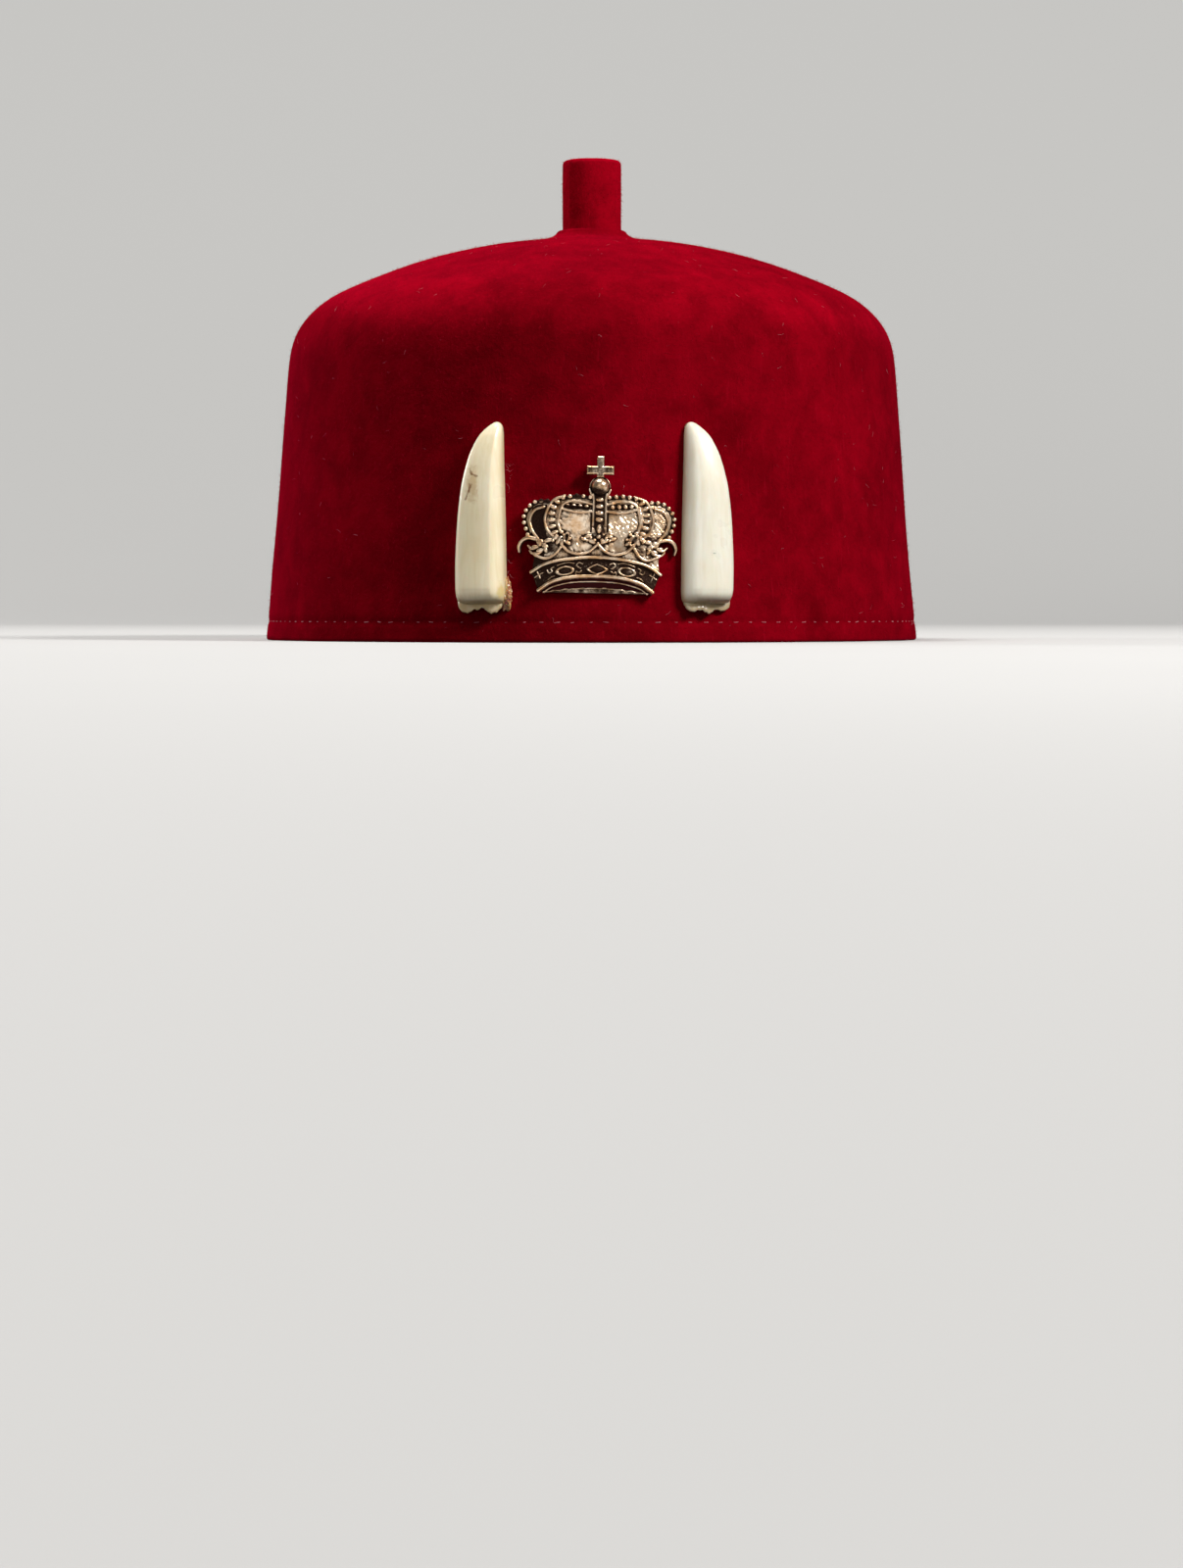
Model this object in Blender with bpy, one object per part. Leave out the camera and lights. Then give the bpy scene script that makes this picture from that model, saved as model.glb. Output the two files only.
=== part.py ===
"""Chieftaincy cap: a felt crown with a stem, two tusk plaques and a cast crown badge.

Metres, +Z up. The origin is the centre of the hem, on the surface that the cap rests on.
The front of the cap faces -Y.
"""
import math
from collections import namedtuple

import bmesh
import bpy
import numpy as np
from mathutils import Vector

# Felt crown
HEM_WIDTH = 0.185
HEM_DEPTH = 0.194
CROWN_HEIGHT = 0.1137
FELT_THICKNESS = 0.0022
HEM_ROUNDING = 0.0006
CROWN_SEGMENTS = 56

# Neck of the crown and the stem that stands on it
STEM_DIAMETER = 0.0168
STEM_HEIGHT = 0.0194
STEM_EDGE_ROUNDING = 0.0011
STEM_SEGMENTS = 24
NECK_HEIGHT = 0.0024
NECK_FLARE = 0.0030

# Clearance between pieces that are glued or sewn face to face
SEAT_GAP = 0.0003

# Badge, and its place on the front of the wall
BADGE_WIDTH = 0.0422
BADGE_HEIGHT = 0.0355
BADGE_ABOVE_HEM = 0.0128
BADGE_OFF_CENTRE = 0.0010
BADGE_TURN_DEGREES = 1.2
BADGE_EDGE_THICKNESS = 0.0013
BADGE_MIDDLE_THICKNESS = 0.0030
BADGE_STRIPS = 8
FOOT_PLATE_THICKNESS = 0.0010
ARCH_RAIL_RADIUS = 0.00042
BAND_RAIL_RADIUS = 0.00050
POST_RAIL_RADIUS = 0.00032
SWAG_RADIUS = 0.00037
SCROLL_RADIUS = 0.00055
BEAD_RADIUS = 0.00066
BEAD_PITCH = 0.00160
DROP_RADIUS = 0.00100
ORB_RADIUS = 0.00210
ORB_PLATE_MARGIN = 0.00052
ORB_PLATE_THICKNESS = 0.00064
COLLAR_RADIUS = 0.00120
CROSS_THICKNESS = 0.00150
CROSS_BEVEL = 0.00038

# Tusk plaques, placed from the edges of the badge
TUSK_WIDTH = 0.0138
TUSK_HEIGHT = 0.0477
TUSK_THICKNESS = 0.0060
TUSK_ABOVE_HEM = 0.0100
TUSK_LIP_DROP = 0.0026
LEFT_TUSK_GAP = 0.0022
RIGHT_TUSK_GAP = 0.0015
TUSK_FACE_SQUARENESS = 3.6
TUSK_FACE_STEPS = 10

# Outline of the crown above the hem. Height is a share of CROWN_HEIGHT, width of HEM_WIDTH,
# and rows is how many rows of faces lead up to the next section.
CrownSection = namedtuple("CrownSection", "height width rows")
CROWN_SECTIONS = (
    CrownSection(0.128, 0.984, 1),
    CrownSection(0.348, 0.961, 1),
    CrownSection(0.569, 0.941, 1),
    CrownSection(0.712, 0.926, 1),
    CrownSection(0.745, 0.916, 1),
    CrownSection(0.780, 0.895, 1),
    CrownSection(0.814, 0.856, 1),
    CrownSection(0.855, 0.784, 2),
    CrownSection(0.931, 0.552, 2),
    CrownSection(0.979, 0.310, 1),
)

# Sections of a plaque from its base up, as shares of TUSK_HEIGHT, TUSK_WIDTH and
# TUSK_THICKNESS. The straight inner edge faces the badge.
TuskSection = namedtuple("TuskSection", "height inner outer thickness")
TUSK_SECTIONS = (
    TuskSection(0.000, 0.060, 0.920, 0.72),
    TuskSection(0.027, 0.010, 0.975, 0.94),
    TuskSection(0.100, 0.000, 0.995, 1.00),
    TuskSection(0.245, 0.005, 1.000, 1.00),
    TuskSection(0.465, 0.020, 0.960, 1.00),
    TuskSection(0.611, 0.035, 0.904, 0.98),
    TuskSection(0.684, 0.042, 0.857, 0.96),
    TuskSection(0.757, 0.050, 0.792, 0.92),
    TuskSection(0.830, 0.055, 0.709, 0.87),
    TuskSection(0.904, 0.060, 0.581, 0.77),
    TuskSection(0.940, 0.064, 0.487, 0.68),
    TuskSection(0.975, 0.080, 0.353, 0.52),
    TuskSection(0.994, 0.125, 0.260, 0.30),
)

# The thin lip under a plaque. Here height is the share of TUSK_LIP_DROP below the base.
TUSK_LIP_SECTIONS = (
    TuskSection(1.00, 0.140, 0.840, 0.22),
    TuskSection(0.75, 0.080, 0.900, 0.34),
    TuskSection(0.12, 0.070, 0.910, 0.40),
)

# Lines of the badge's right half, which its left half mirrors. Each point is (across, up):
# across from the centre line as a share of the span between the scroll tips, and up from the
# foot as a share of BADGE_HEIGHT. Smooth curves run through them.
INNER_ARCH_OUTER_RAIL = (
    (0.215, 0.690), (0.290, 0.656), (0.330, 0.546), (0.311, 0.446), (0.258, 0.392),
)
INNER_ARCH_INNER_RAIL = (
    (0.044, 0.646), (0.145, 0.672), (0.225, 0.640), (0.252, 0.550), (0.216, 0.440),
)
INNER_ARCH_BEADS = (
    (0.058, 0.698), (0.150, 0.708), (0.240, 0.685), (0.286, 0.618), (0.291, 0.525), (0.254, 0.437),
)
OUTER_ARCH_RAIL = (
    (0.344, 0.624), (0.405, 0.596), (0.433, 0.524), (0.415, 0.450), (0.374, 0.388),
)
OUTER_ARCH_BEADS = (
    (0.322, 0.661), (0.397, 0.642), (0.450, 0.585), (0.464, 0.505), (0.427, 0.402),
)
BACK_ARCH_RAIL = ((0.046, 0.595), (0.130, 0.587), (0.228, 0.612))
BACK_ARCH_BEADS = ((0.092, 0.628), (0.184, 0.630))
INNER_SWAG = ((0.012, 0.345), (0.110, 0.272), (0.217, 0.329))
OUTER_SWAG = ((0.227, 0.316), (0.316, 0.235), (0.384, 0.261))
UPPER_BAND_RAIL = ((0.398, 0.136), (0.274, 0.212), (0.000, 0.257))
LOWER_BAND_RAIL = ((0.347, 0.020), (0.200, 0.092), (0.000, 0.118))
SCROLL = ((0.500, 0.301), (0.490, 0.368), (0.430, 0.394), (0.329, 0.359))
BODY_SIDE = ((0.372, 0.050), (0.400, 0.136), (0.390, 0.244), (0.384, 0.287), (0.352, 0.337))
BODY_NECK = ((0.040, 0.722), (0.036, 0.800), (0.020, 0.852), (0.000, 0.856))
FOOT_OUTLINE = ((0.000, 0.000), (0.300, 0.003), (0.348, 0.012), (0.356, 0.050), (0.000, 0.140))

# Stones of the band and leaves at the ends of the arches. Length and width are half sizes, as
# shares of the span; the turn is in degrees from level.
Boss = namedtuple("Boss", "across up length width turn")
SIDE_STONE = Boss(0.180, 0.168, 0.056, 0.027, -8)
MIDDLE_STONE = Boss(0.000, 0.180, 0.058, 0.031, 0)
STONE_RISE_SHARE = 0.42
LEAVES = (
    Boss(0.205, 0.395, 0.030, 0.014, 60),
    Boss(0.245, 0.380, 0.030, 0.014, 110),
    Boss(0.285, 0.372, 0.028, 0.013, 150),
    Boss(0.040, 0.400, 0.028, 0.015, 35),
    Boss(0.075, 0.382, 0.024, 0.012, 10),
    Boss(0.378, 0.330, 0.030, 0.016, 40),
)

# Middle post, orb and cross, as shares of the span across and of BADGE_HEIGHT up
POST_HALF_WIDTH_SHARE = 0.035
POST_FOOT_SHARE = 0.455
POST_TOP_SHARE = 0.715
POST_BEADS = ((0.000, 0.485), (0.000, 0.700))
DROP_UP_SHARE = 0.445
ORB_UP_SHARE = 0.776
COLLAR_UP_SHARE = 0.842
CROSS_UP_SHARE = 0.897
CROSS_ARM_HALF_SPAN_SHARE = 0.082
CROSS_BAR_HALF_WIDTH_SHARE = 0.025


def clear_scene():
    for old in list(bpy.data.objects):
        bpy.data.objects.remove(old, do_unlink=True)


def make_material(name, colour, roughness, metallic):
    """Principled material from an sRGB colour of 0 to 255 a channel."""
    linear = [((c / 255 + 0.055) / 1.055) ** 2.4 if c > 10 else c / 255 / 12.92 for c in colour]
    material = bpy.data.materials.new(name)
    material.use_nodes = True
    shader = material.node_tree.nodes["Principled BSDF"]
    shader.inputs["Base Color"].default_value = (*linear, 1.0)
    shader.inputs["Roughness"].default_value = roughness
    shader.inputs["Metallic"].default_value = metallic
    material.diffuse_color = (*linear, 1.0)
    return material


def mesh_from(name, bm):
    bmesh.ops.recalc_face_normals(bm, faces=bm.faces)
    mesh = bpy.data.meshes.new(name)
    bm.to_mesh(mesh)
    bm.free()
    return mesh


def add_object(name, mesh, material):
    mesh.shade_smooth()
    mesh.materials.append(material)
    piece = bpy.data.objects.new(name, mesh)
    bpy.context.scene.collection.objects.link(piece)
    return piece


def smooth_through(points, steps):
    """Catmull-Rom curve through (x, y) points, with 'steps' pieces to each stretch."""
    points = [Vector(point) for point in points]
    padded = [2 * points[0] - points[1], *points, 2 * points[-1] - points[-2]]
    curve = []
    for i in range(len(points) - 1):
        before, start, end, after = padded[i:i + 4]
        for step in range(steps):
            t = step / steps
            curve.append(0.5 * (2 * start + (end - before) * t
                                + (2 * before - 5 * start + 4 * end - after) * t ** 2
                                + (3 * start - before - 3 * end + after) * t ** 3))
    curve.append(points[-1])
    return curve


# Felt crown and stem

def crown_outline():
    """Outer half-width and height of each row of the felt, from the hem to the neck's foot."""
    half = HEM_WIDTH / 2
    sections = [(half, 0.0)]
    sections += [(half * s.width, CROWN_HEIGHT * s.height) for s in CROWN_SECTIONS]
    sections.append((STEM_DIAMETER / 2 + NECK_FLARE, CROWN_HEIGHT))
    rows = [1] + [s.rows for s in CROWN_SECTIONS]
    steps = max(rows)
    curve = smooth_through(sections, steps)
    outline = [curve[0]]
    for i, count in enumerate(rows):
        outline += [curve[i * steps + (row + 1) * steps // count] for row in range(count)]
    return outline


def felt_inside(outline):
    """The outline moved in by the felt's thickness, square to the surface."""
    inside = []
    for before, here, after in zip(outline, outline[1:], outline[2:]):
        run = (after - before).normalized()
        inside.append(here + FELT_THICKNESS * Vector((-run.y, run.x)))
    return inside


def half_depth(half_width):
    """The crown is an oval at the hem that fades to a circle at the neck."""
    share = half_width / (HEM_WIDTH / 2)
    return half_width + (HEM_DEPTH - HEM_WIDTH) / 2 * share ** 2


def wall_point(outline, along, up, out):
    """A point on the front wall: 'along' it from the centre line, 'up' from the hem, 'out' of it."""
    widths, heights = np.array(outline).T
    wide = float(np.interp(up, heights, widths))
    deep = half_depth(wide)
    reach = CROWN_HEIGHT / 50
    below, above = np.interp((up - reach, up + reach), heights, widths)
    tilt = math.atan2(float(below - above), 2 * reach)
    angle = along / wide
    level = Vector((math.sin(angle) / wide, -math.cos(angle) / deep, 0.0)).normalized()
    normal = level * math.cos(tilt) + Vector((0.0, 0.0, math.sin(tilt)))
    return Vector((wide * math.sin(angle), -deep * math.cos(angle), up)) + normal * out


def turned(name, profile, segments):
    """Closed solid turned about Z from a profile of (radius, height) points."""
    bm = bmesh.new()
    verts = [bm.verts.new((radius, 0.0, height)) for radius, height in profile]
    edges = [bm.edges.new(pair) for pair in zip(verts, verts[1:])]
    bmesh.ops.spin(bm, geom=verts + edges, axis=(0, 0, 1), cent=(0, 0, 0),
                   angle=2 * math.pi, steps=segments, use_merge=True)
    bmesh.ops.remove_doubles(bm, verts=bm.verts, dist=1e-6)
    return mesh_from(name, bm)


def build_crown(felt):
    outline = crown_outline()
    hem_outer = HEM_WIDTH / 2
    hem_inner = hem_outer - FELT_THICKNESS
    rounding = min(HEM_ROUNDING, 0.4 * FELT_THICKNESS)
    neck_radius = STEM_DIAMETER / 2
    profile = [(hem_outer - rounding, 0.0), (hem_outer, rounding)] + outline[1:]
    for turn in (math.pi / 6, math.pi / 3, math.pi / 2):
        profile.append((neck_radius + NECK_FLARE * (1 - math.sin(turn)),
                        CROWN_HEIGHT + NECK_HEIGHT * (1 - math.cos(turn))))
    profile += [(0.0, CROWN_HEIGHT + NECK_HEIGHT), (0.0, CROWN_HEIGHT - FELT_THICKNESS)]
    profile += felt_inside(outline)[::-1]
    profile += [(hem_inner, rounding), (hem_inner + rounding, 0.0), profile[0]]
    mesh = turned("crown", profile, CROWN_SEGMENTS)
    for vert in mesh.vertices:
        radius = math.hypot(vert.co.x, vert.co.y)
        if radius > 0:
            vert.co.y *= half_depth(radius) / radius
    add_object("crown", mesh, felt)


def build_stem(felt):
    radius = STEM_DIAMETER / 2
    foot = CROWN_HEIGHT + NECK_HEIGHT + SEAT_GAP
    top = foot + STEM_HEIGHT
    rounding = min(STEM_EDGE_ROUNDING, radius / 2)
    profile = [(0.0, foot), (radius, foot)]
    for turn in (0, math.pi / 4, math.pi / 2):
        profile.append((radius - rounding * (1 - math.cos(turn)),
                        top - rounding * (1 - math.sin(turn))))
    profile.append((0.0, top))
    add_object("stem", turned("stem", profile, STEM_SEGMENTS), felt)


# Tusk plaques

def loft(rings):
    """Closed body through rings of points, with flat ends."""
    bm = bmesh.new()
    loops = [[bm.verts.new(point) for point in ring] for ring in rings]
    for lower, upper in zip(loops, loops[1:]):
        for i in range(len(lower)):
            k = (i + 1) % len(lower)
            bm.faces.new((lower[i], lower[k], upper[k], upper[i]))
    bm.faces.new(loops[0])
    bm.faces.new(loops[-1])
    bmesh.ops.recalc_face_normals(bm, faces=bm.faces)
    return bm


def plaque_ring(section):
    """Flat back and a squared-off round face, as (across, out) points."""
    middle = (section.inner + section.outer) / 2 * TUSK_WIDTH
    reach = (section.outer - section.inner) / 2 * TUSK_WIDTH
    power = 2 / TUSK_FACE_SQUARENESS
    ring = [(middle, 0.0), (middle - reach, 0.0)]
    for i in range(1, TUSK_FACE_STEPS):
        turn = math.pi * i / TUSK_FACE_STEPS
        across = math.copysign(abs(math.cos(turn)) ** power, math.cos(turn))
        out = math.sin(turn) ** power * section.thickness * TUSK_THICKNESS
        ring.append((middle - reach * across, out))
    ring.append((middle + reach, 0.0))
    return ring


def build_tusk(name, side, gap, ivory):
    """One plaque, to the left (-1) or right (1) of the badge as seen from the front."""
    outline = crown_outline()
    inner_edge = BADGE_WIDTH / 2 + gap + side * BADGE_OFF_CENTRE
    heights = [-s.height * TUSK_LIP_DROP for s in TUSK_LIP_SECTIONS]
    heights += [s.height * TUSK_HEIGHT for s in TUSK_SECTIONS]
    rings = []
    for height, section in zip(heights, TUSK_LIP_SECTIONS + TUSK_SECTIONS):
        rings.append([wall_point(outline, side * (inner_edge + across),
                                 TUSK_ABOVE_HEM + height, SEAT_GAP + out)
                      for across, out in plaque_ring(section)])
    add_object(name, mesh_from(name, loft(rings)), ivory)


# Badge, modelled flat (X across, Y up, Z out of the wall) and then bent to the wall

def badge_span():
    return BADGE_WIDTH - 2 * SCROLL_RADIUS


def badge_face(across):
    """Thickness of the badge's body, which bulges towards the middle."""
    bulge = max(0.0, 1 - (2 * across) ** 2)
    return BADGE_EDGE_THICKNESS + (BADGE_MIDDLE_THICKNESS - BADGE_EDGE_THICKNESS) * bulge


def on_badge(across, up, lift=0.0):
    """A point 'lift' above the body's face."""
    return Vector((across * badge_span(), up * BADGE_HEIGHT, badge_face(across) + lift))


def mirrored(points):
    return tuple((-across, up) for across, up in points)


def over_middle(half):
    """The whole line from its right half, which ends on the centre line."""
    return half + mirrored(half)[-2::-1]


def body_outline():
    """Closed outline of the body: band, side, outer arch, inner arch and neck of the orb."""
    band = [p for p in smooth_through(over_middle(LOWER_BAND_RAIL), 2) if p.x >= 0][::-1]
    half = [tuple(p) for p in band] + list(BODY_SIDE)
    half += [tuple(p) for p in smooth_through(OUTER_ARCH_BEADS, 2)[::-1]]
    half += [tuple(p) for p in smooth_through(INNER_ARCH_BEADS[:3], 2)[::-1]]
    half += BODY_NECK
    return half + list(mirrored(half[1:-1]))[::-1]


def plate(outline, thickness):
    """Plate with a flat back; its face follows 'thickness', a function of the place across."""
    bm = bmesh.new()
    bm.faces.new([bm.verts.new((across * badge_span(), up * BADGE_HEIGHT, 0.0))
                  for across, up in outline])
    for i in range(1, BADGE_STRIPS):
        cut = (i / BADGE_STRIPS - 0.5) * badge_span()
        bmesh.ops.bisect_plane(bm, geom=bm.verts[:] + bm.edges[:] + bm.faces[:], dist=1e-6,
                               plane_co=(cut, 0, 0), plane_no=(1, 0, 0))
    raised = bmesh.ops.extrude_face_region(bm, geom=bm.faces[:])
    for item in raised["geom"]:
        if isinstance(item, bmesh.types.BMVert):
            item.co.z = thickness(item.co.x / badge_span())
    bmesh.ops.recalc_face_normals(bm, faces=bm.faces)
    return bm


def tube(points, radius, sides=5):
    """Round rail along a path of points."""
    rings = []
    for i, point in enumerate(points):
        run = (points[min(i + 1, len(points) - 1)] - points[max(i - 1, 0)]).normalized()
        side = run.cross(Vector((0, 0, 1))).normalized()
        rise = side.cross(run)
        turns = [2 * math.pi * k / sides for k in range(sides)]
        rings.append([point + radius * (math.cos(turn) * side + math.sin(turn) * rise)
                      for turn in turns])
    return loft(rings)


def rail(points, radius):
    return tube([on_badge(p.x, p.y) for p in smooth_through(points, 2)], radius)


def ball(centre, radius, segments=10, rings=4):
    bm = bmesh.new()
    bmesh.ops.create_uvsphere(bm, u_segments=segments, v_segments=rings, radius=radius)
    bmesh.ops.translate(bm, verts=bm.verts, vec=centre)
    return bm


def boss(shape, rise, segments, rings, side=1):
    """Oval stone or leaf, half sunk in the body; 'rise' is its height as a share of its length."""
    bm = bmesh.new()
    size = shape.length * badge_span()
    bmesh.ops.create_uvsphere(bm, u_segments=segments, v_segments=rings, radius=size)
    bmesh.ops.scale(bm, verts=bm.verts, vec=(1, shape.width / shape.length, rise))
    turn = side * math.radians(shape.turn)
    place = on_badge(side * shape.across, shape.up)
    for vert in bm.verts:
        x, y, z = vert.co
        vert.co = place + Vector((x * math.cos(turn) - y * math.sin(turn),
                                  x * math.sin(turn) + y * math.cos(turn), z))
    return bm


def beads_along(points, lift=0.0):
    """A row of beads along a line on the badge's face."""
    line = [on_badge(p.x, p.y, lift) for p in smooth_through(points, 6)]
    lengths = [0.0]
    for start, end in zip(line, line[1:]):
        lengths.append(lengths[-1] + (end - start).length)
    count = max(2, round(lengths[-1] / BEAD_PITCH) + 1)
    xs, ys, zs = np.array(line).T
    beads = []
    for place in np.linspace(0, lengths[-1], count):
        centre = [float(np.interp(place, lengths, values)) for values in (xs, ys, zs)]
        beads.append(ball(Vector(centre), BEAD_RADIUS))
    return beads


def block(outline, low, high, bevel):
    """Upright block with a bevelled front edge, from an outline in metres."""
    bm = bmesh.new()
    base = bm.faces.new([bm.verts.new((x, y, low)) for x, y in outline])
    raised = bmesh.ops.extrude_face_region(bm, geom=[base])
    front = [item for item in raised["geom"] if isinstance(item, bmesh.types.BMFace)]
    for vert in front[0].verts:
        vert.co.z = high - bevel
    bmesh.ops.recalc_face_normals(bm, faces=bm.faces)
    bmesh.ops.inset_region(bm, faces=front, thickness=bevel, use_even_offset=True)
    for vert in front[0].verts:
        vert.co.z = high
    return bm


def badge_post():
    half = POST_HALF_WIDTH_SHARE * badge_span()
    foot = POST_FOOT_SHARE * BADGE_HEIGHT
    top = POST_TOP_SHARE * BADGE_HEIGHT
    face = badge_face(0)
    strip = [(-half, foot), (half, foot), (half, top), (-half, top)]
    pieces = [block(strip, face / 2, face + POST_RAIL_RADIUS, POST_RAIL_RADIUS / 2)]
    for edge in (-half, half):
        ends = [Vector((edge, height, face + POST_RAIL_RADIUS)) for height in (foot, top)]
        pieces.append(tube(ends, POST_RAIL_RADIUS))
    pieces += beads_along(POST_BEADS, lift=POST_RAIL_RADIUS + BEAD_RADIUS / 3)
    pieces.append(ball(on_badge(0, DROP_UP_SHARE, DROP_RADIUS / 2), DROP_RADIUS))
    return pieces


def badge_orb():
    face = badge_face(0)
    centre = Vector((0, ORB_UP_SHARE * BADGE_HEIGHT, max(face, ORB_RADIUS)))
    disc = bmesh.new()
    reach = ORB_RADIUS + ORB_PLATE_MARGIN
    bmesh.ops.create_cone(disc, cap_ends=True, segments=16, radius1=reach, radius2=reach,
                          depth=ORB_PLATE_THICKNESS)
    back = Vector((0, centre.y, face - ORB_PLATE_THICKNESS))
    bmesh.ops.translate(disc, verts=disc.verts, vec=back)
    return [ball(centre, ORB_RADIUS, segments=14, rings=8), disc]


def badge_cross():
    arm = CROSS_ARM_HALF_SPAN_SHARE * badge_span()
    bar = CROSS_BAR_HALF_WIDTH_SHARE * badge_span()
    low = COLLAR_UP_SHARE * BADGE_HEIGHT
    mid = CROSS_UP_SHARE * BADGE_HEIGHT
    top = BADGE_HEIGHT
    right = [(bar, low), (bar, mid - bar), (arm, mid - bar), (arm, mid + bar),
             (bar, mid + bar), (bar, top)]
    outline = right + [(-x, y) for x, y in right[::-1]]
    back = badge_face(0) - CROSS_THICKNESS / 2
    cross = block(outline, back, back + CROSS_THICKNESS, min(CROSS_BEVEL, bar / 2))
    return [ball(on_badge(0, COLLAR_UP_SHARE), COLLAR_RADIUS), cross]


def badge_band():
    pieces = [rail(over_middle(half), BAND_RAIL_RADIUS)
              for half in (UPPER_BAND_RAIL, LOWER_BAND_RAIL)]
    pieces.append(boss(MIDDLE_STONE, STONE_RISE_SHARE, 12, 4))
    pieces += [boss(SIDE_STONE, STONE_RISE_SHARE, 12, 4, side) for side in (-1, 1)]
    return pieces


def badge_sides():
    """Arches, swags, scrolls and leaves, which are the same on both sides."""
    radius_of = {
        INNER_ARCH_OUTER_RAIL: ARCH_RAIL_RADIUS,
        INNER_ARCH_INNER_RAIL: ARCH_RAIL_RADIUS,
        OUTER_ARCH_RAIL: ARCH_RAIL_RADIUS,
        BACK_ARCH_RAIL: SWAG_RADIUS,
        INNER_SWAG: SWAG_RADIUS,
        OUTER_SWAG: SWAG_RADIUS,
        SCROLL: SCROLL_RADIUS,
    }
    pieces = []
    for side in (1, -1):
        for line, radius in radius_of.items():
            pieces.append(rail(line if side > 0 else mirrored(line), radius))
        for line in (INNER_ARCH_BEADS, OUTER_ARCH_BEADS, BACK_ARCH_BEADS):
            pieces += beads_along(line if side > 0 else mirrored(line))
        for leaf in LEAVES:
            pieces.append(boss(leaf, leaf.width / leaf.length, 6, 3, side))
    return pieces


def bend_to_wall(bm, outline):
    """Lay flat badge geometry on the front wall of the crown."""
    tilt = math.radians(BADGE_TURN_DEGREES)
    for vert in bm.verts:
        x, y, out = vert.co
        along = BADGE_OFF_CENTRE + x * math.cos(tilt) + y * math.sin(tilt)
        up = BADGE_ABOVE_HEM + y * math.cos(tilt) - x * math.sin(tilt)
        vert.co = wall_point(outline, along, up, SEAT_GAP + out)


def build_badge(metal):
    """One casting: the body with everything raised on it joined by a Boolean union."""
    outline = crown_outline()
    body = plate(body_outline(), badge_face)
    foot_outline = FOOT_OUTLINE + mirrored(FOOT_OUTLINE[1:-1])[::-1]
    foot = plate(foot_outline, lambda across: FOOT_PLATE_THICKNESS)
    raised = [foot] + badge_post() + badge_orb() + badge_cross() + badge_band() + badge_sides()
    bend_to_wall(body, outline)
    badge = add_object("badge", mesh_from("badge_body", body), metal)
    relief = bpy.data.collections.new("badge_relief")
    bpy.context.scene.collection.children.link(relief)
    for bm in raised:
        bend_to_wall(bm, outline)
        relief.objects.link(bpy.data.objects.new("relief", mesh_from("relief", bm)))
    union = badge.modifiers.new("raised_relief", "BOOLEAN")
    union.operation = "UNION"
    union.operand_type = "COLLECTION"
    union.collection = relief
    union.solver = "EXACT"
    union.use_self = True
    ready = badge.evaluated_get(bpy.context.evaluated_depsgraph_get())
    casting = bpy.data.meshes.new_from_object(ready)
    badge.modifiers.clear()
    badge.data = casting
    for piece in list(relief.objects):
        bpy.data.objects.remove(piece, do_unlink=True)
    bpy.data.collections.remove(relief)


def main():
    clear_scene()
    felt = make_material("red_felt", (140, 2, 25), 0.95, 0.0)
    ivory = make_material("ivory", (236, 232, 214), 0.35, 0.0)
    metal = make_material("antique_gold", (196, 160, 118), 0.35, 1.0)
    build_crown(felt)
    build_stem(felt)
    build_tusk("tusk_left", -1, LEFT_TUSK_GAP, ivory)
    build_tusk("tusk_right", 1, RIGHT_TUSK_GAP, ivory)
    build_badge(metal)


main()
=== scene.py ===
import math

import bmesh
import bpy
import numpy as np
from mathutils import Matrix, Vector, noise


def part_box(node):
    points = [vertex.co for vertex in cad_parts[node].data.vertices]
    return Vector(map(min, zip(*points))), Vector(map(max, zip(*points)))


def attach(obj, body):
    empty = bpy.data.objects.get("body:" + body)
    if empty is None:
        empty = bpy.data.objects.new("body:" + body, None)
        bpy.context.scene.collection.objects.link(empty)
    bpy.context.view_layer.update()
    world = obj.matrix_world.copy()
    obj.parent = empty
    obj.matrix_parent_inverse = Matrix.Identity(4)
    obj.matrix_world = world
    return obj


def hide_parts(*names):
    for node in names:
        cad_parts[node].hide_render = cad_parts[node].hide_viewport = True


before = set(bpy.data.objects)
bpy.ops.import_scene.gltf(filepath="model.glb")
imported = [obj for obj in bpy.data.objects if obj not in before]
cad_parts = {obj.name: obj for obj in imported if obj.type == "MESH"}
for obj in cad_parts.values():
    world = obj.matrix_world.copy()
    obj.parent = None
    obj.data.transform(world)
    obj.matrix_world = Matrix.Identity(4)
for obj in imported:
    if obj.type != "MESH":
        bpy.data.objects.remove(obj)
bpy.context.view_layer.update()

# Metres, +Z up, the front of the cap faces -Y. The cap rests on the floor at Z 0.

hemHalfWidth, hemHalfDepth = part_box("crown")[1].xy
print("frame loaded:", ", ".join(sorted(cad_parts)))


# Node helpers

class Value:
    # a number that a node gives, so that sums and products are written as such

    def __init__(self, socket):
        self.socket = socket

    def join(self, operation, other):
        return math1(self.socket.id_data, operation, self, other)

    def __add__(self, other):
        return self.join("ADD", other)

    def __sub__(self, other):
        return self.join("SUBTRACT", other)

    def __mul__(self, other):
        return self.join("MULTIPLY", other)

    def __truediv__(self, other):
        return self.join("DIVIDE", other)


def plug(socket, value):
    value = value.socket if isinstance(value, Value) else value
    if isinstance(value, bpy.types.NodeSocket):
        socket.id_data.links.new(value, socket)
    else:
        socket.default_value = value


def addNode(tree, kind, inputs=None, **settings):
    made = tree.nodes.new(kind)
    for name, value in settings.items():
        setattr(made, name, value)
    for name, value in (inputs or {}).items():
        plug(made.inputs[name], value)
    return made


def outOf(tree, kind, inputs=None, **settings):
    return addNode(tree, kind, inputs, **settings).outputs[0]


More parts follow.
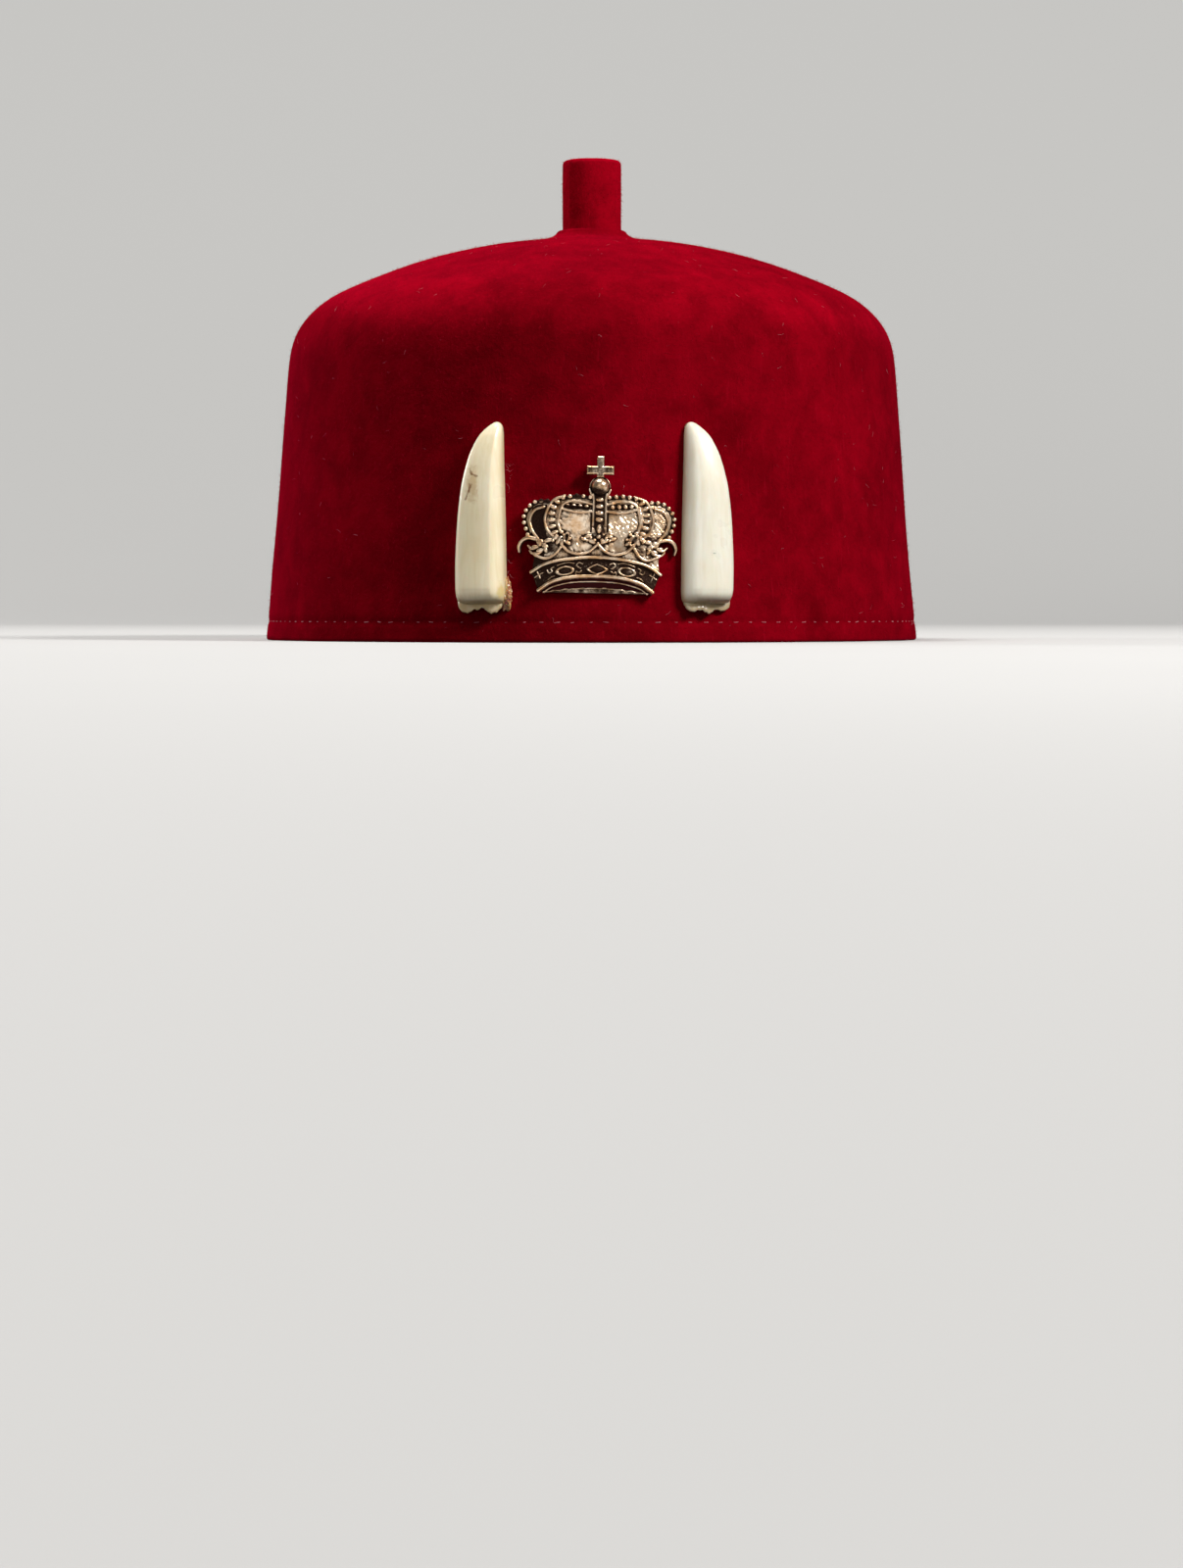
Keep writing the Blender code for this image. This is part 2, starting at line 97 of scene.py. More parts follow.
def liveSocket(sockets, name):
    return [s for s in sockets if s.name == name and s.enabled][0]


def math1(tree, operation, *values, **settings):
    return Value(outOf(tree, "ShaderNodeMath", dict(enumerate(values)), operation=operation, **settings))


def vectorMath(tree, operation, *values):
    made = addNode(tree, "ShaderNodeVectorMath", operation=operation)
    for place, value in enumerate(values):
        plug(made.inputs[3 if operation == "SCALE" and place else place], value)
    if operation in ("LENGTH", "DOT_PRODUCT"):
        return Value(made.outputs["Value"])
    return made.outputs["Vector"]


def parts(tree, vector):
    return [Value(s) for s in addNode(tree, "ShaderNodeSeparateXYZ", {0: vector}).outputs]


def joined(tree, **axes):
    return outOf(tree, "ShaderNodeCombineXYZ", axes)


def remap(tree, value, low, high, toLow=0.0, toHigh=1.0, smooth=False):
    return Value(outOf(tree, "ShaderNodeMapRange", {
        "Value": value, "From Min": low, "From Max": high, "To Min": toLow, "To Max": toHigh},
        interpolation_type="SMOOTHSTEP" if smooth else "LINEAR"))


def noiseValue(tree, vector, scale, detail=3.0, roughness=0.55, distortion=0.0):
    inputs = {"Vector": vector, "Scale": scale, "Detail": detail, "Roughness": roughness}
    return Value(outOf(tree, "ShaderNodeTexNoise", {**inputs, "Distortion": distortion}))


def randomValue(tree, kind, least, most, seed):
    made = addNode(tree, "FunctionNodeRandomValue", data_type=kind)
    for name, value in (("Min", least), ("Max", most), ("Seed", seed)):
        plug(liveSocket(made.inputs, name), value)
    return liveSocket(made.outputs, "Value")


def position(tree):
    return outOf(tree, "GeometryNodeInputPosition")


def objectShape(tree, source):
    return addNode(tree, "GeometryNodeObjectInfo", {"Object": source}).outputs["Geometry"]


def pointsAlong(tree, rows, pitch):
    curve = outOf(tree, "GeometryNodeMeshToCurve", {"Mesh": objectShape(tree, rows)})
    spaced = addNode(tree, "GeometryNodeCurveToPoints", {"Curve": curve, "Length": pitch}, mode="LENGTH")
    tangent = spaced.outputs["Tangent"]
    along = outOf(tree, "FunctionNodeAlignRotationToVector", {"Vector": tangent}, axis="X")
    return spaced.outputs["Points"], along


def leaned(tree, rotation, lean):
    return outOf(tree, "FunctionNodeRotateRotation", {"Rotation": rotation, "Rotate By": lean},
                 rotation_space="LOCAL")


def newTree(name, **kinds):
    tree = bpy.data.node_groups.new(name, "GeometryNodeTree")
    for kind, labels in kinds.items():
        for label in labels:
            tree.interface.new_socket(name=label, in_out="INPUT", socket_type="NodeSocket" + kind)
    tree.interface.new_socket(name="Material", in_out="INPUT", socket_type="NodeSocketMaterial")
    tree.interface.new_socket(name="Geometry", in_out="OUTPUT", socket_type="NodeSocketGeometry")
    tree.is_modifier = True
    return tree, {s.name: Value(s) for s in tree.nodes.new("NodeGroupInput").outputs}


def endTree(tree, given, geometry):
    real = outOf(tree, "GeometryNodeRealizeInstances", {"Geometry": geometry})
    smooth = outOf(tree, "GeometryNodeSetShadeSmooth", {"Geometry": real})
    painted = outOf(tree, "GeometryNodeSetMaterial", {"Geometry": smooth, "Material": given["Material"]})
    addNode(tree, "NodeGroupOutput", {"Geometry": painted})
    return tree


def endWithCopies(tree, given, points, shape, turned, size):
    return endTree(tree, given, outOf(tree, "GeometryNodeInstanceOnPoints", {
        "Points": points, "Instance": shape, "Rotation": turned, "Scale": size}))


# Mesh helpers

def placed(name, data):
    made = bpy.data.objects.new(name, data)
    bpy.context.scene.collection.objects.link(made)
    return made


def makePiece(name, tree, look, **values):
    # the keys of the look and the other values name the tree's inputs: waveScale sets Wave Scale
    piece = placed(name, bpy.data.meshes.new(name))
    modifier = piece.modifiers.new("shape", "NODES")
    modifier.node_group = tree
    values = {"".join(" " + c if c.isupper() else c for c in key).title(): value
              for key, value in {**look, **values}.items()}
    for socket in tree.interface.items_tree:
        if socket.in_out == "INPUT" and socket.name in values:
            modifier[socket.identifier] = values[socket.name]
    ready = piece.evaluated_get(bpy.context.evaluated_depsgraph_get())
    mesh = bpy.data.meshes.new_from_object(ready)
    piece.modifiers.clear()
    piece.data = mesh
    mesh.name = name
    return piece


def helperObject(name, points, edges=None):
    mesh = bpy.data.meshes.new(name)
    edges = edges or [(i, i + 1) for i in range(len(points) - 1)]
    mesh.from_pydata([tuple(p) for p in points], edges, [])
    return placed(name, mesh)


def dropHelpers(*helpers):
    for helper in helpers:
        bpy.data.objects.remove(helper, do_unlink=True)


def finished(name, mesh, material):
    mesh.materials.append(material)
    mesh.shade_smooth()
    return placed(name, mesh)


def meshPiece(name, verts, faces, material):
    mesh = bpy.data.meshes.new(name)
    mesh.from_pydata(verts, [], faces)
    return finished(name, mesh, material)


def bmeshPiece(name, bm, material):
    mesh = bpy.data.meshes.new(name)
    bm.to_mesh(mesh)
    bm.free()
    return finished(name, mesh, material)


def storeValues(piece, name, values):
    piece.data.attributes.new(name, "FLOAT", "POINT").data.foreach_set("value", values)


def faceOut(piece):
    bm = bmesh.new()
    bm.from_mesh(piece.data)
    bmesh.ops.recalc_face_normals(bm, faces=bm.faces)
    bm.to_mesh(piece.data)
    bm.free()


def ringFaces(rows, columns, start=0):
    faces = []
    for i in range(rows - 1):
        a = start + i * columns
        b = a + columns
        faces += [(a + k, a + (k + 1) % columns, b + (k + 1) % columns, b + k) for k in range(columns)]
    return faces


def loftFaces(rows, columns, start=0):
    last = start + (rows - 1) * columns
    return ringFaces(rows, columns, start) + [tuple(range(start, start + columns)),
                                              tuple(range(last, last + columns))]


def dress(piece, slot, *nodes):
    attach(piece, "root")
    if nodes:
        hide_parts(*nodes)


def smoothLine(points, steps):
    points = np.array(points, float)
    padded = np.vstack([2 * points[0] - points[1], points, 2 * points[-1] - points[-2]])
    line = []
    for before, start, end, after in zip(padded, padded[1:], padded[2:], padded[3:]):
        for step in range(steps):
            t = step / steps
            line.append(0.5 * (2 * start + (end - before) * t
                               + (2 * before - 5 * start + 4 * end - after) * t ** 2
                               + (3 * start - before - 3 * end + after) * t ** 3))
    return np.array(line + [points[-1]])


# Material helpers

def srgb(colour):
    shares = np.array(colour) / 255
    return (*np.where(shares > 0.04045, ((shares + 0.055) / 1.055) ** 2.4, shares / 12.92), 1.0)


def newMaterial(name, values):
    material = bpy.data.materials.new(name)
    material.use_nodes = True
    shader = material.node_tree.nodes["Principled BSDF"]
    for socket, value in values.items():
        shader.inputs[socket].default_value = value
    return material, material.node_tree, shader.inputs


def objectPoint(tree, scale=(1, 1, 1), turn=(0, 0, 0)):
    place = addNode(tree, "ShaderNodeTexCoord").outputs["Object"]
    return outOf(tree, "ShaderNodeMapping", {"Vector": place, "Scale": scale, "Rotation": turn})


def attributeValue(tree, name):
    return Value(addNode(tree, "ShaderNodeAttribute", attribute_name=name).outputs["Fac"])


def mixColour(tree, share, first, second):
    first, second = (srgb(c) if isinstance(c, tuple) else c for c in (first, second))
    return addNode(tree, "ShaderNodeMix", {0: share, 6: first, 7: second}, data_type="RGBA").outputs[2]


def bumped(tree, height, strength, distance, below=None):
    inputs = {"Height": height, "Strength": strength, "Distance": distance}
    if below is not None:
        inputs["Normal"] = below
    return outOf(tree, "ShaderNodeBump", inputs)


# Camera at the photograph's angle, just above the floor

view = {"distance": 1.1, "height": 0.010, "downDegrees": 2.672, "lens": 88.35, "clipStart": 0.004}


def makeCamera():
    data = bpy.data.cameras.new("camera")
    data.lens = view["lens"]
    data.clip_start = view["clipStart"]
    camera = placed("camera", data)
    camera.location = (0, -view["distance"], view["height"])
    camera.rotation_euler = (math.radians(90 - view["downDegrees"]), 0, 0)
    bpy.context.scene.camera = camera


# Pale studio: one sweep of floor and wall, four soft lamps, a glow for the plaques and a dim sky

studio = {
    "halfWidth": 3.0, "front": -3.0, "wallStart": 0.9, "bend": 0.7, "bendSteps": 12, "wallTop": 2.6,
    "paper": (184, 182, 179), "paperGrain": 4, "grainScale": 3.0,
    "sky": (0.62, 0.64, 0.68), "skyStrength": 0.13,
    "room": (198, 197, 194), "glowFrom": 0.75, "glowTo": 1.6, "glow": 0.9,    # far from the cap
    "aimHeight": 0.06,
    "lamps": {             # place, size, power
        "key": ((1.05, -0.78, 1.02), 0.50, 29.0),
        "top": ((-0.22, 0.10, 1.58), 0.80, 22.0),
        "rim": ((-1.31, 0.53, 0.51), 0.50, 11.0),
        "frontGlow": ((-0.24, -1.42, 0.50), 0.85, 2.1),
        "plaqueGlow": ((-0.35, -1.15, 0.34), 0.90, 3.8),
    },
}


def makeLamp(name, place, size, power):
    data = bpy.data.lights.new(name, "AREA")
    data.shape = "DISK"
    data.size = size
    data.energy = power
    lamp = placed(name, data)
    lamp.location = place
    aim = Vector((0, 0, studio["aimHeight"])) - Vector(place)
    lamp.rotation_euler = aim.to_track_quat("-Z", "Y").to_euler()
    lamp.visible_camera = False
    return lamp


def makePaper():
    paper, tree, inputs = newMaterial("backdropPaper", {"Roughness": 0.85})
    grain = noiseValue(tree, objectPoint(tree), studio["grainScale"], detail=2.0)
    light = tuple(c + studio["paperGrain"] for c in studio["paper"])
    away = vectorMath(tree, "LENGTH", objectPoint(tree))
    far = remap(tree, away, studio["glowFrom"], studio["glowTo"], 0.0, studio["glow"], smooth=True)
    near = mixColour(tree, grain, studio["paper"], light)
    plug(inputs["Base Color"], mixColour(tree, far, near, (0, 0, 0)))
    plug(inputs["Emission Color"], srgb(studio["room"]))
    plug(inputs["Emission Strength"], far)
    return paper


def makeSweep():
    section = [(studio["front"], 0.0), (studio["wallStart"], 0.0)]
    for turn in (math.pi / 2 * i / studio["bendSteps"] for i in range(1, studio["bendSteps"] + 1)):
        section.append((studio["wallStart"] + studio["bend"] * math.sin(turn),
                        studio["bend"] * (1 - math.cos(turn))))
    section.append((section[-1][0], studio["wallTop"]))
    verts = [(side * studio["halfWidth"], y, z) for y, z in section for side in (-1, 1)]
    faces = [(2 * i, 2 * i + 1, 2 * i + 3, 2 * i + 2) for i in range(len(section) - 1)]
    sweep = meshPiece("studio_sweep", verts, faces, makePaper())
    sweep.visible_diffuse = False     # the paper throws no light back on the felt


def makeSky():
    world = bpy.data.worlds.new("studioSky")
    world.use_nodes = True
    tree = world.node_tree
    sky = tree.nodes["Background"]
    sky.inputs["Color"].default_value = (*studio["sky"], 1.0)
    sky.inputs["Strength"].default_value = studio["skyStrength"]
    room = outOf(tree, "ShaderNodeBackground", {"Color": srgb(studio["room"])})
    seen = addNode(tree, "ShaderNodeLightPath").outputs["Is Camera Ray"]
    both = outOf(tree, "ShaderNodeMixShader", {0: seen, 1: sky.outputs[0], 2: room})
    plug(tree.nodes["World Output"].inputs["Surface"], both)
    bpy.context.scene.world = world


litPlaques = bpy.data.collections.new("litPlaques")     # all that the plaques' glow reaches
makeCamera()
makeSweep()
makeSky()
lamps = {name: makeLamp(name, *look) for name, look in studio["lamps"].items()}
lamps["plaqueGlow"].light_linking.receiver_collection = litPlaques
bpy.context.scene.view_settings.view_transform = "Standard"
print("camera and studio ready")


# Materials

feltLook = {
    "deep": (97, 1, 9), "full": (145, 2, 20), "rubbed": (172, 13, 36), "rubbedMost": 0.20,
    # the stem's deep and full are lighter than the crown's: painted light, standing in for the brighter
    # light on the stem
    "stemDeepWithPaintedLight": (112, 1, 12), "stemFullWithPaintedLight": (166, 3, 26),
    "cloudScale": 26.0, "clumpScale": 140.0, "strokeScale": 1300.0, "napScale": 1000.0,
    "fibreScale": 2600.0, "fibreTurns": (0.3, 1.4, 2.5),
    "cloudShare": 0.60, "clumpShare": 0.42, "napShare": 0.24, "shareOffset": -0.04,
    "shareRange": (0.35, 0.90), "rubbedRange": (0.60, 0.74), "strokeFlat": 0.14, "fibreFlat": 0.12,
    "bumps": {"clump": (0.24, 0.0008), "nap": (0.45, 0.0004), "fibres": (0.40, 0.0002)},
    "shader": {"Roughness": 0.95, "Sheen Weight": 0.22, "Sheen Roughness": 0.45,
               "Sheen Tint": (0.80, 0.004, 0.05, 1.0), "Specular IOR Level": 0.0},
}


def makeFelt(name, deep, full):
    look = feltLook
    felt, tree, inputs = newMaterial(name, look["shader"])
    place = objectPoint(tree)
    cloud = noiseValue(tree, place, look["cloudScale"], detail=4.0)
    clump = noiseValue(tree, place, look["clumpScale"], detail=2.0, distortion=0.4)
    tall = objectPoint(tree, scale=(1.0, 1.0, look["strokeFlat"]))
    stroke = noiseValue(tree, tall, look["strokeScale"], detail=2.0, distortion=0.5)
    nap = noiseValue(tree, place, look["napScale"], detail=6.0, roughness=0.62, distortion=0.6)
    share = nap * look["napShare"] + look["shareOffset"] + cloud * look["cloudShare"]
    share = share + clump * look["clumpShare"]
    colour = mixColour(tree, remap(tree, share, *look["shareRange"], smooth=True), deep, full)
    rubbed = remap(tree, stroke, *look["rubbedRange"], 0.0, look["rubbedMost"])
    plug(inputs["Base Color"], mixColour(tree, rubbed, colour, look["rubbed"]))
    fibres = None
    for turn in look["fibreTurns"]:
        lying = objectPoint(tree, scale=(1.0, 1.0, look["fibreFlat"]), turn=(turn, turn * 0.7, turn * 1.3))
        strand = noiseValue(tree, lying, look["fibreScale"], detail=2.0, distortion=0.8)
        fibres = strand if fibres is None else math1(tree, "MAXIMUM", fibres, strand)
    normal = bumped(tree, clump, *look["bumps"]["clump"])
    normal = bumped(tree, nap, *look["bumps"]["nap"], normal)
    plug(inputs["Normal"], bumped(tree, fibres, *look["bumps"]["fibres"], normal))
    return felt


plainLooks = {             # grain: scale, detail, distortion, then the range of it that the colours span
    "pinkThread": {
        "grain": (2400.0, 2.0, 0.0, 0.0, 1.0), "colours": ((132, 26, 42), (196, 104, 112)),
        "bump": (0.5, 0.0001),
        "shader": {"Roughness": 0.8, "Sheen Weight": 0.3}},
    "feltFuzz": {
        "grain": (420.0, 1.0, 0.0, 0.0, 1.0), "colours": ((112, 1, 14), (188, 8, 34)), "bump": None,
        "shader": {"Roughness": 0.9, "Sheen Weight": 0.2, "Sheen Tint": (1, 0.03, 0.10, 1),
                   "Specular IOR Level": 0.01}},
    "paleLint": {
        "grain": (160.0, 1.0, 0.0, 0.35, 0.65), "colours": ((160, 34, 52), (222, 150, 154)), "bump": None,
        "shader": {"Roughness": 0.9, "Sheen Weight": 0.4}},
    "driedGlue": {
        "grain": (700.0, 4.0, 0.6, 0.36, 0.60), "colours": ((150, 58, 52), (196, 158, 96)),
        "bump": (0.5, 0.0004), "shader": {
            "Roughness": 0.3, "Subsurface Weight": 0.3, "Subsurface Scale": 0.002, "Coat Weight": 0.3}},
}


def makePlain(name):
    look = plainLooks[name]
    plain, tree, inputs = newMaterial(name, look["shader"])
    scale, detail, distortion, low, high = look["grain"]
    grain = noiseValue(tree, objectPoint(tree), scale, detail=detail, distortion=distortion)
    plug(inputs["Base Color"], mixColour(tree, remap(tree, grain, low, high), *look["colours"]))
    if look["bump"]:
        plug(inputs["Normal"], bumped(tree, grain, *look["bump"]))
    return plain


ivoryLook = {
    # foot: darker olive-brown towards each plaque's bottom, partly the ivory's own tint and partly painted
    # shade of its rounded foot
    "edge": (196, 170, 118), "edgeMost": 0.55, "foot": (150, 122, 74), "footTintAndShadeMost": 0.80,
    "footTintAndShadeLow": 0.0096, "footTintAndShadeHigh": 0.0135,
    "tan": (200, 170, 124), "vein": (126, 80, 40), "film": (214, 192, 128), "fleck": (150, 150, 142),
    "veinMost": 0.72, "veinFrom": 0.00008, "veinTo": 0.00040, "veinRag": 0.0011, "patchRag": 1.8,
    "footRag": 0.003, "cloudScale": 70.0, "grainScale": 1100.0, "fineScale": 900.0, "ragScale": 420.0,
    "roughness": (0.24, 0.40), "bump": (0.12, 0.0002),
    "shader": {"Roughness": 0.3, "Subsurface Weight": 0.15, "Subsurface Scale": 0.002,
               "Coat Weight": 0.25, "Coat Roughness": 0.12},
}
ivoryMarks = {             # soft patches: across, up, half width, half height, strength
    "Left": {
        # the left plaque's pale and warm are yellower than the right's: painted warm shade, for the shade
        # and warm bounce it sits in
        "pale": (241, 229, 198), "warm": (228, 211, 170),
        "patches": (("tan", -0.0312, 0.0415, 0.0017, 0.0054, 0.75),
                    ("film", -0.0236, 0.0133, 0.0012, 0.0026, 0.9)),
        "veins": (((-0.0318, 0.0454), (-0.0313, 0.0439)), ((-0.0313, 0.0439), (-0.0298, 0.0435)),
                  ((-0.0318, 0.0413), (-0.0321, 0.0392)), ((-0.0314, 0.0412), (-0.0330, 0.0373))),
    },
    "Right": {
        "pale": (235, 230, 213), "warm": (224, 215, 190),
        "patches": (("fleck", 0.0320, 0.0233, 0.0006, 0.00022, 0.8),), "veins": (),
    },
}


def farFromLine(tree, flat, start, end):
    start, end = Vector((start[0], 0.0, start[1])), Vector((end[0], 0.0, end[1]))
    run = end - start
    offset = vectorMath(tree, "SUBTRACT", flat, tuple(start))
    along = vectorMath(tree, "DOT_PRODUCT", offset, tuple(run / run.length_squared))
    along = math1(tree, "ADD", along, 0.0, use_clamp=True)
    back = vectorMath(tree, "SCALE", joined(tree, X=run.x, Z=run.z), along)
    return vectorMath(tree, "LENGTH", vectorMath(tree, "SUBTRACT", offset, back))


def makeIvory(name):
    look, marks = ivoryLook, ivoryMarks[name]
    ivory, tree, inputs = newMaterial("ivory" + name, look["shader"])
    place = objectPoint(tree)
    cloud = noiseValue(tree, place, look["cloudScale"])
    grain = noiseValue(tree, objectPoint(tree, scale=(1.0, 1.0, 0.03)), look["grainScale"])
    share = grain * 0.45 + cloud * 0.55
    colour = mixColour(tree, remap(tree, share, 0.35, 0.65), marks["pale"], marks["warm"])
    # darker tan along each plaque's inner edge, low against the felt, and faintly on the lip
    innerEdgeTint = remap(tree, attributeValue(tree, "edge"), 0.0, 1.0, 0.0, look["edgeMost"])
    colour = mixColour(tree, innerEdgeTint, colour, look["edge"])
    across, _, up = parts(tree, place)
    # darker olive-brown towards the bottom: partly the ivory's own tint, partly painted shade under the
    # rounded foot
    height = (cloud - 0.5) * look["footRag"] + up
    foot = remap(tree, height, look["footTintAndShadeLow"], look["footTintAndShadeHigh"], look["footTintAndShadeMost"], 0.0, smooth=True)
    colour = mixColour(tree, foot, colour, look["foot"])
    ragged = noiseValue(tree, place, look["ragScale"], detail=4.0, distortion=1.2) - 0.5
    fine = noiseValue(tree, place, look["fineScale"], detail=4.0)
    for tint, x, z, wide, high, strength in marks["patches"]:
        besides, above = (across - x) / wide, (up - z) / high
        away = ragged * look["patchRag"] + math1(tree, "SQRT", besides * besides + above * above)
        patch = remap(tree, away, 0.35, 1.15, strength, 0.0, smooth=True)
        colour = mixColour(tree, patch, colour, look[tint])
    flat = vectorMath(tree, "MULTIPLY", place, (1.0, 0.0, 1.0))
    for start, end in marks["veins"]:
        away = (fine - 0.5) * look["veinRag"] + farFromLine(tree, flat, start, end)
        line = remap(tree, away, look["veinFrom"], look["veinTo"], look["veinMost"], 0.0, smooth=True)
        colour = mixColour(tree, line, colour, look["vein"])
    plug(inputs["Base Color"], colour)
    plug(inputs["Roughness"], remap(tree, cloud, 0.3, 0.7, *look["roughness"]))
    plug(inputs["Normal"], bumped(tree, grain, *look["bump"], bumped(tree, fine, *look["bump"])))
    return ivory


goldLook = {
    # feltShadeReflection: the dark red-brown painted in the lens below the lower rail, painted shade with a
    # painted reflection of the red felt
    "bright": (246, 223, 195), "worn": (210, 168, 124), "dark": (40, 20, 8), "feltShadeReflection": (62, 9, 12),
    "cloudScale": 420.0, "grainScale": 2600.0, "cloudShare": 0.7, "grainShare": 0.5,
    "roughness": (0.28, 0.58), "metallic": (0.95, 0.80), "bump": (0.25, 0.00012),
}


def makeGold():
    look = goldLook
    gold, tree, inputs = newMaterial("antiqueGold", {})
    place = objectPoint(tree)
    cloud = noiseValue(tree, place, look["cloudScale"], detail=4.0)
    grain = noiseValue(tree, place, look["grainScale"])
    # recess: patina in the hollows, plus painted shade from the badge's shaded patches, panels and lens
    share = (cloud - 0.5) * look["cloudShare"] + attributeValue(tree, "recess")
    share = (grain - 0.5) * look["grainShare"] + share
    patinaAndShade = remap(tree, share, 0.22, 0.78, smooth=True)
    metal = mixColour(tree, remap(tree, cloud, 0.35, 0.65), look["bright"], look["worn"])
    dark = mixColour(tree, attributeValue(tree, "feltShadeReflection"), look["dark"], look["feltShadeReflection"])
    plug(inputs["Base Color"], mixColour(tree, patinaAndShade, metal, dark))
    plug(inputs["Roughness"], remap(tree, patinaAndShade, 0.0, 1.0, *look["roughness"]))
    plug(inputs["Metallic"], remap(tree, patinaAndShade, 0.0, 1.0, *look["metallic"]))
    plug(inputs["Normal"], bumped(tree, grain, *look["bump"]))
    return gold


felt = makeFelt("redFelt", feltLook["deep"], feltLook["full"])
# the stem gets a lighter copy of the felt: painted light
stemFeltWithPaintedLight = makeFelt("stemFeltWithPaintedLight", feltLook["stemDeepWithPaintedLight"], feltLook["stemFullWithPaintedLight"])
thread, fuzz, lint, glue = (makePlain(name) for name in plainLooks)
# the left plaque's ivory is a warmer copy of the right's: painted warm shade
ivoryLeft, ivoryRight = makeIvory("Left"), makeIvory("Right")
gold = makeGold()
print("materials mixed")


# Felt crown and stem: a section line turned round an oval by one tree

crownLook = {
    "height": 0.1137, "feltThickness": 0.0022, "hemRounding": 0.0008,
    "sections": (          # height and half-width as shares, from the hem up
        (0.128, 0.984), (0.348, 0.961), (0.569, 0.941), (0.712, 0.926), (0.745, 0.916),
        (0.780, 0.895), (0.814, 0.856), (0.855, 0.784), (0.931, 0.552), (0.973, 0.350),
    ),
    "neck": (              # radius and height, in millimetres, up the foot of the stem
        (18.4, 112.6), (13.4, 113.5), (11.4, 114.15), (10.3, 114.9), (9.7, 115.6), (9.1, 115.95),
        (8.5, 115.9),
    ),
    "evenStep": 0.0010, "evenReach": 0.0035, "hemTop": 0.0105, "hemStep": 0.0006,
    "grooveHeight": 0.0053, "grooveDepth": 0.00022, "grooveWidth": 0.0009,
    "around": 320, "wave": 0.0009, "waveScale": 17.0, "quietHeight": 0.004, "seed": 3.0,
}
stemLook = {
    "radius": 0.0084, "foot": 0.1130, "top": 0.1358, "edge": 0.0012, "dish": 0.0005, "around": 96,
    "overlap": 0.00045, "seamAngle": math.radians(-52.0), "wave": 0.0004, "waveScale": 130.0,
    "quietHeight": 0.100, "seed": 3.0,
}


def evened(line, step, reach):
    run = np.concatenate([[0], np.cumsum(np.linalg.norm(np.diff(line, axis=0), axis=1))])
    marks = np.arange(0, run[-1], step)
    even = np.column_stack([np.interp(marks, run, line[:, 0]), np.interp(marks, run, line[:, 1])])
    kernel = np.exp(-0.5 * (np.arange(-12, 13) * step / reach) ** 2)
    padded = np.vstack([2 * even[0] - even[12:0:-1], even, 2 * even[-1] - even[-2:-14:-1]])
    return np.column_stack([np.convolve(padded[:, i], kernel / kernel.sum(), "valid") for i in (0, 1)])


def crownOutline():
    wall = [(hemHalfWidth * width, crownLook["height"] * height) for height, width in crownLook["sections"]]
    neck = [(radius / 1000, height / 1000) for radius, height in crownLook["neck"]]
    whole = smoothLine([(hemHalfWidth, 0.0)] + wall + neck, 8)
    body = evened(whole, crownLook["evenStep"], crownLook["evenReach"])
    foot = whole[whole[:, 0] < neck[0][0] + 0.003]
    return np.vstack([body[body[:, 0] > foot[0, 0] + 0.0012], foot])


def innerWall(outline, thickness):
    run = np.gradient(outline, axis=0)
    run /= np.linalg.norm(run, axis=1)[:, None]
    return outline + thickness * np.column_stack([-run[:, 1], run[:, 0]])


def crownSection():
    outline = crownOutline()
    rounding, thickness = crownLook["hemRounding"], crownLook["feltThickness"]
    low = np.arange(rounding, crownLook["hemTop"], crownLook["hemStep"])
    hem = np.column_stack([np.interp(low, outline[:12, 1], outline[:12, 0]), low])
    outer = np.vstack([hem, outline[outline[:, 1] > low[-1] + 0.0008]])
    dip = np.exp(-((outer[:, 1] - crownLook["grooveHeight"]) / crownLook["grooveWidth"]) ** 2)
    outer[:, 0] -= crownLook["grooveDepth"] * dip
    wall = innerWall(outline, thickness)
    wall = wall[(wall[:, 1] > 0.004) & (wall[:, 0] > 0.012)][::3]
    back = hemHalfWidth - thickness
    turns = np.radians([90, 60, 30])
    roundOut = [(hemHalfWidth - rounding * (1 - math.cos(t)), rounding * (1 - math.sin(t)))
                for t in turns[::-1]]
    roundIn = [(back + rounding * (1 - math.cos(t)), rounding * (1 - math.sin(t))) for t in turns]
    section = [(0.0, outline[-1][1]), (outline[-1][0] * 0.6, outline[-1][1])]
    section += [tuple(p) for p in outer[::-1]] + roundOut + roundIn + [(back, rounding)]
    return section + [tuple(p) for p in wall] + [(0.0, crownLook["height"] - thickness)]


def stemSection():
    radius, foot, top, edge, dish = (stemLook[k] for k in ("radius", "foot", "top", "edge", "dish"))
    face = [(0.0, top - dish), (radius * 0.35, top - dish * 0.9), (radius * 0.62, top - dish * 0.4)]
    rim = [(radius - edge * (1 - math.cos(t)), top - edge * (1 - math.sin(t)))
           for t in np.radians([90, 68, 46, 23, 0])]
    side = [(radius, z) for z in np.linspace(top - edge, foot, 16)[1:]]
    return face + rim + side + [(radius * 0.6, foot), (0.0, foot)]


